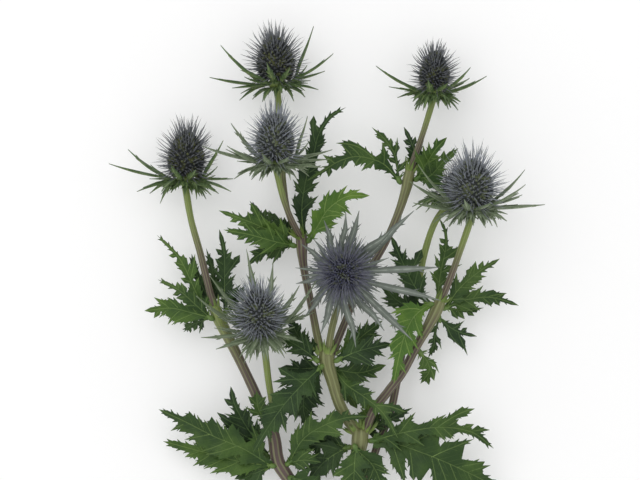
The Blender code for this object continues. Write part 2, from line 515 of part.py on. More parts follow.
def bract_sections(points, long):
    """Places along a bract, from 0 to 1, with its half width there; a long one has a pair of teeth."""
    span = sum((b[0] - a[0]).length for a, b in zip(points, points[1:]))
    if not long:
        return [(0.45, 0.85)]
    if span < 31:
        return [(0.3, 1.15), (0.65, 0.85)]
    return [(0.22, 1.25), (0.46, 1.2), (0.52, 2.5), (0.57, 0.95), (0.8, 0.65)]


def build_bracts(name, base, axis, length, radius, tips, seed, mat, collection):
    """The ring of spiny bracts under a cone, all raised from the hull of their hub."""
    rng = random.Random(seed)
    axis, side, other = head_frame(axis)
    base = Vector(base)
    lines = bract_lines(base, axis, side, other, tips, length, radius, rng)
    centre = base + axis * HUB_MIDDLE
    bm = bmesh.new()
    owner = {}
    for i, (root, row, _, long) in enumerate(lines):
        out = side * math.cos(root) + other * math.sin(root)
        across = axis.cross(out)
        spot = centre + out * HUB_RADIUS * math.cos(row) + axis * HUB_BULGE * math.sin(row)
        normal = (out * math.cos(row) / HUB_RADIUS + axis * math.sin(row) / HUB_BULGE).normalized()
        up = across.cross(normal)
        if up.dot(axis) < 0:
            up = -up
        half = 0.85 if long else 0.7
        for corner in (spot - across * half, spot + across * half, spot - up * 0.6):
            owner[bm.verts.new(place(corner))] = i
    for ring, height, count in ((2.8, HUB_HEIGHT, 5), (1.9, GAP, 5)):
        for k in range(count):
            out = side * math.cos(math.tau * k / count) + other * math.sin(math.tau * k / count)
            bm.verts.new(place(base + out * ring + axis * height))
    corners = list(owner)
    walls = []
    bmesh.ops.convex_hull(bm, input=list(bm.verts), use_existing_faces=False)
    roots = [f for f in bm.faces if len({owner.get(v, -1 - v.index) for v in f.verts}) == 1]
    assert len(roots) == len(lines), name
    for face in roots:
        loop = list(face.verts)
        _, _, points, long = lines[owner[loop[0]]]
        names = [corners.index(v) % 3 for v in loop]
        bm.faces.remove(face)
        last = len(points) - 1
        wall = [points[0][0]]
        for t, half in bract_sections(points, long):
            k = min(int(t * last), last - 1)
            centre_line = points[k][0].lerp(points[k + 1][0], t * last - k)
            across = points[k][1]
            along = (points[k + 1][0] - points[k][0]).normalized()
            keel = along.cross(across) * 0.75
            if keel.dot(axis) > 0:
                keel = -keel
            spots = (centre_line - across * half, centre_line + across * half, centre_line + keel)
            wall.append(centre_line)
            ring = [bm.verts.new(place(spots[n])) for n in names]
            for j in range(3):
                bm.faces.new((loop[j], loop[(j + 1) % 3], ring[(j + 1) % 3]))
                bm.faces.new((loop[j], ring[(j + 1) % 3], ring[j]))
            loop = ring
        tip = bm.verts.new(place(points[-1][0]))
        for j in range(3):
            bm.faces.new((loop[j], loop[(j + 1) % 3], tip))
        walls.append((wall + [points[-1][0]], 1.5))
    mesh = bpy.data.meshes.new(name)
    bm.to_mesh(mesh)
    bm.free()
    return add_object(name, mesh, mat, collection), walls


def nearest_gap(a, b, c, d):
    """The distance between the stretches a-b and c-d."""
    best = 1e9
    line = d - c
    span = line.length_squared
    for i in range(7):
        p = a.lerp(b, i / 6)
        t = min(1.0, max(0.0, (p - c).dot(line) / span))
        best = min(best, (p - c - line * t).length)
    return best


def build_cone(name, base, axis, length, radius, walls, limits, seed, mat, collection):
    """An egg of florets with a spine at each site, all raised from one hull.

    walls are stretches that no spine may come near, and limits are planes that none may pass.
    """
    rng = random.Random(seed)
    axis, side, other = head_frame(axis)
    base = Vector(base)
    rise = length / (1.0 - CONE_FLOOR)
    middle = base + axis * (HUB_HEIGHT + CONE_SEAT - CONE_FLOOR * rise)
    focus = middle - axis * 0.62 * rise
    bm = bmesh.new()
    sites = []
    for i in range(NEEDLES):
        level = 1.0 - (i + 0.4) / NEEDLES * (1.0 - CONE_FLOOR)
        angle = i * math.pi * (3.0 - math.sqrt(5.0))
        ring = math.sqrt(1.0 - level * level)
        out = side * math.cos(angle) + other * math.sin(angle)
        point = middle + out * ring * radius + axis * level * rise
        normal = (out * ring / radius + axis * level / rise).normalized()
        aim = (point - focus).normalized()
        reach = NEEDLE_REACH + (TOP_NEEDLE_REACH - NEEDLE_REACH) * max(0.0, level)
        reach *= rng.uniform(0.88, 1.12)
        root = NEEDLE_ROOT * (0.8 if i < 6 else 1.0)
        u = normal.cross(axis).normalized() if ring > 0.05 else side
        v = normal.cross(u)
        corners = []
        for j in range(3):
            a = math.tau * j / 3 + rng.uniform(0, 0.4)
            corners.append(bm.verts.new(place(point + (u * math.cos(a) + v * math.sin(a)) * root)))
        aim, reach = clear_aim(point, aim, normal, reach, walls, limits, rng)
        sites.append((corners, point + aim * reach))
    owner = {vert: i for i, (corners, _) in enumerate(sites) for vert in corners}
    centre = place(middle)
    bmesh.ops.convex_hull(bm, input=list(bm.verts), use_existing_faces=False)
    for face in list(bm.faces):
        owners = {owner[v] for v in face.verts}
        middle_point = face.calc_center_median()
        if len(owners) == 1:
            apex = bm.verts.new(place(sites[owners.pop()][1]))
        elif len(owners) == 3 and face.normal.dot(axis) > -0.4:
            apex = bm.verts.new(middle_point + face.normal * FLORET_RISE * MM)
        else:
            continue
        loop = list(face.verts)
        bm.faces.remove(face)
        for a, b in zip(loop, loop[1:] + loop[:1]):
            bm.faces.new((a, b, apex))
    if any((f.calc_center_median() - centre).dot(f.normal) < 0 for f in bm.faces if f.calc_area() > 1e-5):
        bmesh.ops.recalc_face_normals(bm, faces=bm.faces)
    mesh = bpy.data.meshes.new(name)
    bm.to_mesh(mesh)
    bm.free()
    return add_object(name, mesh, mat, collection)


def clear_aim(point, aim, normal, reach, walls, limits, rng):
    """Bend a spine away from what stands near it, and shorten it if bending isn't enough."""
    def clear(direction, length):
        tip = point + direction * length
        if any((tip - spot).dot(inward) < 0.6 for spot, inward in limits):
            return False
        return all(nearest_gap(point, tip, a, b) > r for a, b, r in walls)

    near = [(a, b, r) for a, b, r in walls if nearest_gap(point, point + aim * reach, a, b) < r + 9]
    walls = near
    if clear(aim, reach):
        return aim, reach
    for attempt in range(60):
        bend = 0.1 + 0.5 * (attempt % 20) / 20
        length = reach * (1.0, 0.8, 0.6)[attempt // 20]
        shift = Vector((rng.uniform(-1, 1), rng.uniform(-1, 1), rng.uniform(-1, 1))) * bend
        trial = (aim + shift).normalized()
        if trial.dot(normal) > 0.5 and clear(trial, length):
            return trial, length
    length = reach
    while length > 2.2 and not clear(aim, length):
        length *= 0.85
    return aim, length


def main():
    for obj in list(bpy.data.objects):
        bpy.data.objects.remove(obj)
    collection = bpy.data.collections.new("sea_holly_stem")
    bpy.context.scene.collection.children.link(collection)
    green = material("leaf_green", (0.10, 0.22, 0.06), 0.55)
    bract_green = material("bract_green", (0.20, 0.29, 0.18), 0.55)
    stalk_green = material("stalk_green", (0.26, 0.32, 0.10), 0.5)
    stem_brown = material("stem_brown", (0.20, 0.15, 0.11), 0.55)
    floret_blue = material("floret_blue", (0.17, 0.19, 0.27), 0.6)

    walls = []
    for name, rows in STEMS.items():
        build_stem(name, rows, stalk_green if name.startswith("stalk") else stem_brown, collection)
        path = [Vector(p[:3]) for p in smooth_path(rows, STEM_STEP)]
        walls += [(a, b, rows[0][3] + 1.2) for a, b in zip(path, path[1:])]
    for name, (foot, blades) in LEAVES.items():
        build_leaf(name, foot, blades, green, collection)
        for path, half, _, _ in blades:
            line = [Vector(foot)] + [Vector(p) for p in path]
            walls += [(a, b, 0.6 * half + 1.0) for a, b in zip(line, line[1:])]
    for k, (name, (base, axis, length, radius, tips)) in enumerate(HEADS.items()):
        _, lines = build_bracts(name + "_bracts", base, axis, length, radius, tips, 40 + k,
                                bract_green, collection)
        for line, clearance in lines:
            walls += [(a, b, clearance + 0.6) for a, b in zip(line, line[1:])]
    floor = (Vector((0.0, 0.0, 0.0)), UP)
    for k, (name, (base, axis, length, radius, tips)) in enumerate(HEADS.items()):
        limits = [floor]
        middle = Vector(base) + Vector(axis).normalized() * (HUB_HEIGHT + 0.5 * length)
        for other_name, (base_2, axis_2, length_2, radius_2, _) in HEADS.items():
            middle_2 = Vector(base_2) + Vector(axis_2).normalized() * (HUB_HEIGHT + 0.5 * length_2)
            between = middle_2 - middle
            if other_name != name and between.length < 60:
                share = 0.5 + 0.5 * (radius - radius_2) / between.length
                limits.append((middle + between * share, -between.normalized()))
        build_cone(name + "_cone", base, axis, length, radius, walls, limits, 7 + k,
                   floret_blue, collection)


main()
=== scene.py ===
"""The looks of the sea holly stem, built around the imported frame.

The layout below is in millimetres, as in the part's source: x to the right, y towards the flower
heads, z up from the surface that the stem lies on. ORIGIN is the frame's origin in that layout.
"""
import math
import random
from bisect import bisect_right

import bpy
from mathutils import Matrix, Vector
from mathutils.geometry import delaunay_2d_cdt


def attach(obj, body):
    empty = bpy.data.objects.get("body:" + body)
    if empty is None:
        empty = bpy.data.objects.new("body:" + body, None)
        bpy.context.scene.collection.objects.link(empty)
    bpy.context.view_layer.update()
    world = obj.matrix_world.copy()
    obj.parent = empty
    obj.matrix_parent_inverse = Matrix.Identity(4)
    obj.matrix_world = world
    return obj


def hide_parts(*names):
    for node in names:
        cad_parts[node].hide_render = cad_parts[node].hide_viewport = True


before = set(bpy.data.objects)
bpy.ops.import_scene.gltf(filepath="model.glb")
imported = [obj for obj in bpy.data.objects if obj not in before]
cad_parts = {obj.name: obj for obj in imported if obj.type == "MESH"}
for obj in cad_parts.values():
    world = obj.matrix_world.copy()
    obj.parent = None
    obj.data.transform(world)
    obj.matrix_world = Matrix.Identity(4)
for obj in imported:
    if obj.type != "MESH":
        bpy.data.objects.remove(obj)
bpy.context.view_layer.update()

MM = 0.001
ORIGIN = Vector((3.6, -84.3, 0.0))
UP = Vector((0.0, 0.0, 1.0))

# The view: straight down from high above, as wide as the photograph at the stem's mid height.
CAMERA_HEIGHT = 3000.0
VIEW_WIDTH = 384.0
MID_HEIGHT = 30.0
SENSOR = 36.0

# The light, in metres and watts, and the floor, which glows a little like a light table.
WORLD_STRENGTH = 0.88
LIGHT_PLACE = (-0.7, 0.9, 1.9)
LIGHT_SIZE = 2.0
LIGHT_POWER = 9.0
FLOOR_HALF = 4.0
FLOOR_GLOW = 0.22

# The heads' shared shape, as in the part's source.
CONE_SEAT = 0.80
CONE_FLOOR = -0.74
HUB_RADIUS = 5.4
HUB_HEIGHT = 4.2
HUB_MIDDLE = 2.9
HUB_BULGE = 3.4
UPPER_ROWS = (math.radians(17), math.radians(-6))
SMALL_BRACTS = 8
BRACT_ROOT = 3.8               # how far from the axis a bract starts, inside the hub
BRACT_SWEEP = 0.05
CONE_ROOM = 3.6                # how far a long bract stays off the cone's egg
TURNED = 0.7                   # the share of a bract where it has turned to its tip's direction
CLEARANCE = 0.8                # how far above the surface a short bract's tip stays

# The heads' fine forms.
FLORETS = 300                  # florets on a cone, each with a spine beside it
FLORET_RADIUS = 0.85
FLORET_RISE = 1.4
SEPALS = 3                     # pointed sepals round each floret's tip
TIP_FLORETS = 14               # smaller florets at the cone's tip
CONE_SLIM = 0.95               # how slim the florets' egg is beside the part's
CONE_TAPER = 0.3               # how much slimmer than an egg the cone is towards its tip
SPINE_REACH = 13.6             # longest spine at the cone's side, on a cone of USUAL_RADIUS
TOP_SPINE_REACH = 15.4         # and at its tip
USUAL_RADIUS = 10.6
SHORTEST_SPINE = 0.55          # a spine's least length as a share of the longest
LOW_SPINE = 0.72               # every third spine is this much shorter
SPINE_FAN = 1.4                # how much more the spines spread sideways than the egg does
SPINE_STRAY = 0.11             # how far spines stray from the even spread
SPINE_HALF = 0.27              # half the width of a spine at its root
BRACT_HALF = 2.1               # half the width of a long bract
SLIM_HALF = 1.2                # half the width of a slim bract between two long ones
SHORT_HALF = 1.25              # half the width of a short bract bent back under the head
EXTRA_SHORT = 14               # short bracts besides the part's own
BRACT_STATIONS = 16            # cross-sections of a bract
LONG_SPAN = 31.0               # a bract longer than this has full width and five pairs of teeth
NARROW_GAP = 0.45              # an angle between long bracts that takes fewer slim ones

# The leaves' fine forms.
LEAF_WIDTH = 1.22              # how much wider the blades are than the halves in LEAVES
BLADE = 0.4                    # thickness of a leaf
SHEET_STEP = 1.35              # spacing of the points across a leaf
TOOTH_STEP = 4.6               # spacing of the small teeth along a leaf's edge
RIB_ROOM = 0.55                # how far the points across a leaf stay off its midribs
MERGE = 0.05                   # points nearer than this become one
WIDEST = 0.4                   # where along a blade it is widest
BASE_WIDTH = 0.32              # its width at its base beside that
FIRST_NOTCH = 0.08             # where along a blade its first notch is
TOOTHED = 0.9                  # the share of a blade that its large teeth take up
TOOTH_POINT = 0.78             # where a large tooth's point is between two notches
BITE = 0.5                     # how deep the notches between large teeth go into a blade
LOBE_BITE = 0.3                # and into a lobe
TOOTH = ((-0.85, -0.1), (0.75, 0.75), (0.25, -0.15))    # its corners, along and out of the edge
SIDE_LOBES = (0.20, 0.36, 0.52, 0.66)   # where along a blade its cut side lobes stand
LOBED_LENGTH = 14.0            # a shorter blade has no cut side lobes
VEIN_STEP = 4.6                # spacing of the side veins along a midrib
VEIN_LEAN = 1.25               # how far a side vein runs forward for each mm outward
FOLD = 0.16                    # how steeply a blade's sides rise from its midrib
WAVE = 0.5                     # height of the slow wave along a blade's edges
WAVE_TURN = 0.42               # radians of that wave a mm
GROOVE = 0.3                   # depth of the groove along a midrib
QUILT = 0.16                   # height of the swellings between side veins
RIB_RADIUS = 0.5
RIB_DROP = 0.42                # how far a midrib's middle lies under the blade's
FOOT_RADIUS = 1.75
FOOT_BRISTLES = 7

# The stems' fine forms.
STEM_STEP = 2.2
SHEATH_SCALES = 8              # pointed green scales round the foot of a branch
STEM_SIDES = 32
STEM_RIBS = 8
RIB_DEPTH = 0.05
SEATED = 1.8                   # how far a stem's end runs on into what carries it

# Each head: where its stalk ends, its axis, the cone's length and radius, and the tips of its
# long bracts, measured from the stalk's end.
HEADS = {
    "head_1": ((-25.8, 91.2, 23.0), (-0.06, 0.99, 0.03), 25.5, 10.6,
               [(-34, 26, 8), (-41, 7, -6), (-27, 17, 15), (-27, 0, 9), (-23, -7, -9),
                (22, 38, -3), (34, 21, 6), (29, 11, -12), (25, -1, 9), (17, -5, -13),
                (-6, 15, 25), (8, 12, 24), (4, 10, -22.6), (-12, 6, -22.6)]),
    "head_2": ((-26.4, 43.2, 46.0), (-0.02, 0.97, 0.20), 26.5, 10.6,
               [(-27, 27, -8), (-44, 13, 4), (-29, 13, 14), (-25, -7, 9), (-16, -5, -13),
                (19, 31, 6), (34, 11, -6), (32, 5, 8), (20, -5, -12), (28, 0, 14),
                (-8, 8, 26), (8, 6, 25), (4, 12, -24), (-12, 8, -22)]),
    "head_3": ((-81.0, 33.0, 23.0), (0.03, 0.99, 0.03), 27.0, 10.2,
               [(-46, 13, 6), (-35, 22, -8), (-29, -4, 10), (-22, -5, -11), (-14, -4, 15),
                (23, 27, 8), (29, 4, -8), (28, -4, 12), (20, -5, -13), (18, -4, 14),
                (-8, 12, 26), (7, 9, 24), (-6, 9, -22.6), (9, 12, -22.6)]),
    "head_4": ((68.4, 85.8, 23.0), (0.03, 0.99, 0.06), 21.5, 8.0,
               [(-35, 19, 5), (-22, 0, -7), (-18, 7, 12), (-13, -3, 12),
                (22, 18, 9), (32, 13, 0), (22, 12, -10), (16, -3, 10), (12, -4, -11),
                (-4, 10, 21), (8, 8, 20), (-6, 8, -20), (7, 8, -21)]),
    "head_5": ((91.2, 16.2, 47.0), (-0.02, 0.97, 0.22), 26.5, 11.6,
               [(31, 26, 4), (31, 17, 14), (30, 11, -8), (43, 5, 6), (20, -5, 12), (16, -4, -12),
                (-33, 29, 12), (-38, 19, 2), (-36, 6, 12), (-24, -6, -4), (-16, -5, 13),
                (-6, 8, 27), (10, 6, 26), (14, 8, -20), (0, 4, -18)]),
    "head_6": ((-34.2, -57.0, 34.0), (-0.14, 0.82, 0.55), 26.0, 10.4,
               [(32, 33, 21), (-40, 24, 10), (-32, 36, 2), (-37, -1, 16), (-28, -8, 18),
                (-8, -12, 24), (10, -11, 22), (24, -4, 18), (31, 14, 4), (22, 30, -2),
                (-10, 52, -4), (6, 44, -12)]),
    "head_7": ((14.4, -20.2, 38.0), (-0.04, 0.06, 0.99), 25.0, 10.8,
               [(1, 37, 8), (9, 38, 12), (42, 38, 9), (57, 4, 9), (58, -16, 8), (41, -40, 6),
                (7, -44, 10), (-24, -26, 2), (-14, -36, 7), (-12, 32, 9), (-26, 18, 6),
                (-29, -6, 2), (30, 28, 15), (24, -34, 14)]),
    "head_8": ((76.4, 21.0, 19.0), (0.55, 0.83, 0.02), 21.0, 8.2,
               [(-21, -1, -6), (-19, -3, 8), (14, -8, -11), (24, -8, -5),
                (30, 6, -8), (-14, 18, -10), (-9, 8, -18.0), (10, 4, -18.0), (24, 18, -12),
                (-4, 12, 16)]),
}

# Each stem: rings of x, y, z and radius, smoothed between them. The first ring is the lower end.
STEMS = {
    "main_stem": [(6, -300, 4.1, 4.1), (8, -262, 4.6, 4.1), (9, -220, 7, 4.0), (9, -190, 10, 4.6),
                  (10, -182, 11, 5.2), (14, -170, 13, 4.0), (20, -145, 17, 3.8),
                  (23, -128, 19, 4.4), (24, -121, 20, 5.0), (24.2, -116.0, 20.3, 4.7)],
    "centre_branch": [(20.7, -113.9, 20.4, 3.0), (16, -107, 21, 3.3), (11.5, -98, 22, 3.4),
                      (7.5, -85, 23, 3.6), (4.8, -76, 24, 4.2), (4.2, -72, 24.1, 4.8),
                      (4.0, -68.0, 24.3, 4.5)],
    "left_branch": [(5.5, -175.6, 11.2, 2.9), (-10, -156, 12.5, 3.1), (-23, -138, 14, 4.2),
                    (-26, -131, 14.5, 4.0), (-28, -118, 16, 3.8), (-33, -106, 17, 3.2),
                    (-40, -90, 18, 2.9), (-49, -71, 20, 2.9), (-58, -53, 21, 3.5),
                    (-61.2, -46, 22, 3.9), (-63.3, -41.2, 22.2, 3.4)],
    "right_branch": [(27.6, -114.4, 20.6, 2.6), (32, -103, 21.5, 2.6), (41, -91, 22.5, 2.6),
                     (50, -79, 23.5, 2.6), (58, -64, 24, 2.5), (66, -50, 24, 3.2),
                     (70, -42, 24, 3.7), (72.3, -36.9, 25.3, 3.2)],
    "far_right_branch": [(19.9, -171.5, 10.4, 2.6), (27, -150, 10.2, 2.5), (34, -126, 10.5, 2.4),
                         (43, -102, 11.5, 2.4), (50, -66, 13, 2.2), (57, -38, 14, 2.1),
                         (62.5, -10, 15.5, 2.0), (68.5, 9, 17.4, 1.9), (76.0, 20.4, 19.0, 2.0)],
    "upper_branch": [(0.6, -67.2, 23.4, 2.5), (-2, -56, 22.6, 2.3), (-5.5, -38, 22, 2.2),
                     (-9.5, -18, 23, 2.3), (-10.8, -8, 24, 3.0), (-10.9, -2.5, 24.1, 3.4),
                     (-11.3, 1.8, 24.3, 3.2)],
    "upper_right_branch": [(7.8, -67.1, 23.0, 2.3), (14, -52, 21.0, 2.2), (24, -28, 20.5, 2.2),
                           (38, -4, 21, 2.2), (47, 16, 22, 2.3), (51.6, 30, 22, 2.9),
                           (52.8, 35.5, 22, 3.3), (54.0, 40.8, 22, 2.9)],
    "stalk_1": [(-13.0, 2.9, 22.6, 1.8), (-19, 16, 16, 1.8), (-22, 34, 11.5, 1.8),
                (-23.5, 58, 11, 1.8), (-24.5, 76, 15.5, 1.8), (-25.7, 90.4, 22.6, 2.0)],
    "stalk_2": [(-12.0, 2.7, 27.2, 1.8), (-17, 12, 34, 1.8), (-22, 25, 40.5, 1.8),
                (-26.2, 42.4, 45.7, 2.0)],
    "stalk_3": [(-63.6, -40.4, 22.2, 2.2), (-66.5, -30, 22, 2.1), (-72, -8, 22, 2.0),
                (-77.5, 12, 22.4, 1.9), (-81.0, 32.2, 23, 2.1)],
    "stalk_4": [(54.2, 41.6, 22, 2.0), (57, 50, 22, 1.8), (62.5, 66, 22.4, 1.7),
                (68.3, 85.0, 22.9, 1.9)],
    "stalk_5": [(72.6, -36.0, 25.6, 2.2), (77, -26, 29, 2.0), (84, -6, 38, 1.9),
                (91.1, 15.4, 46.6, 2.1)],
    "stalk_6": [(-28.4, -110.8, 21.2, 1.9), (-28.6, -100, 23.5, 1.9), (-31, -84, 28, 1.9),
                (-34.0, -57.9, 33.4, 2.1)],
    "stalk_7": [(4.9, -67.2, 27.4, 2.0), (7, -54, 28.0, 2.0), (11.5, -36, 27.5, 2.0),
                (14.0, -24.5, 29.5, 2.0), (14.4, -20.4, 37.2, 2.0)],
}

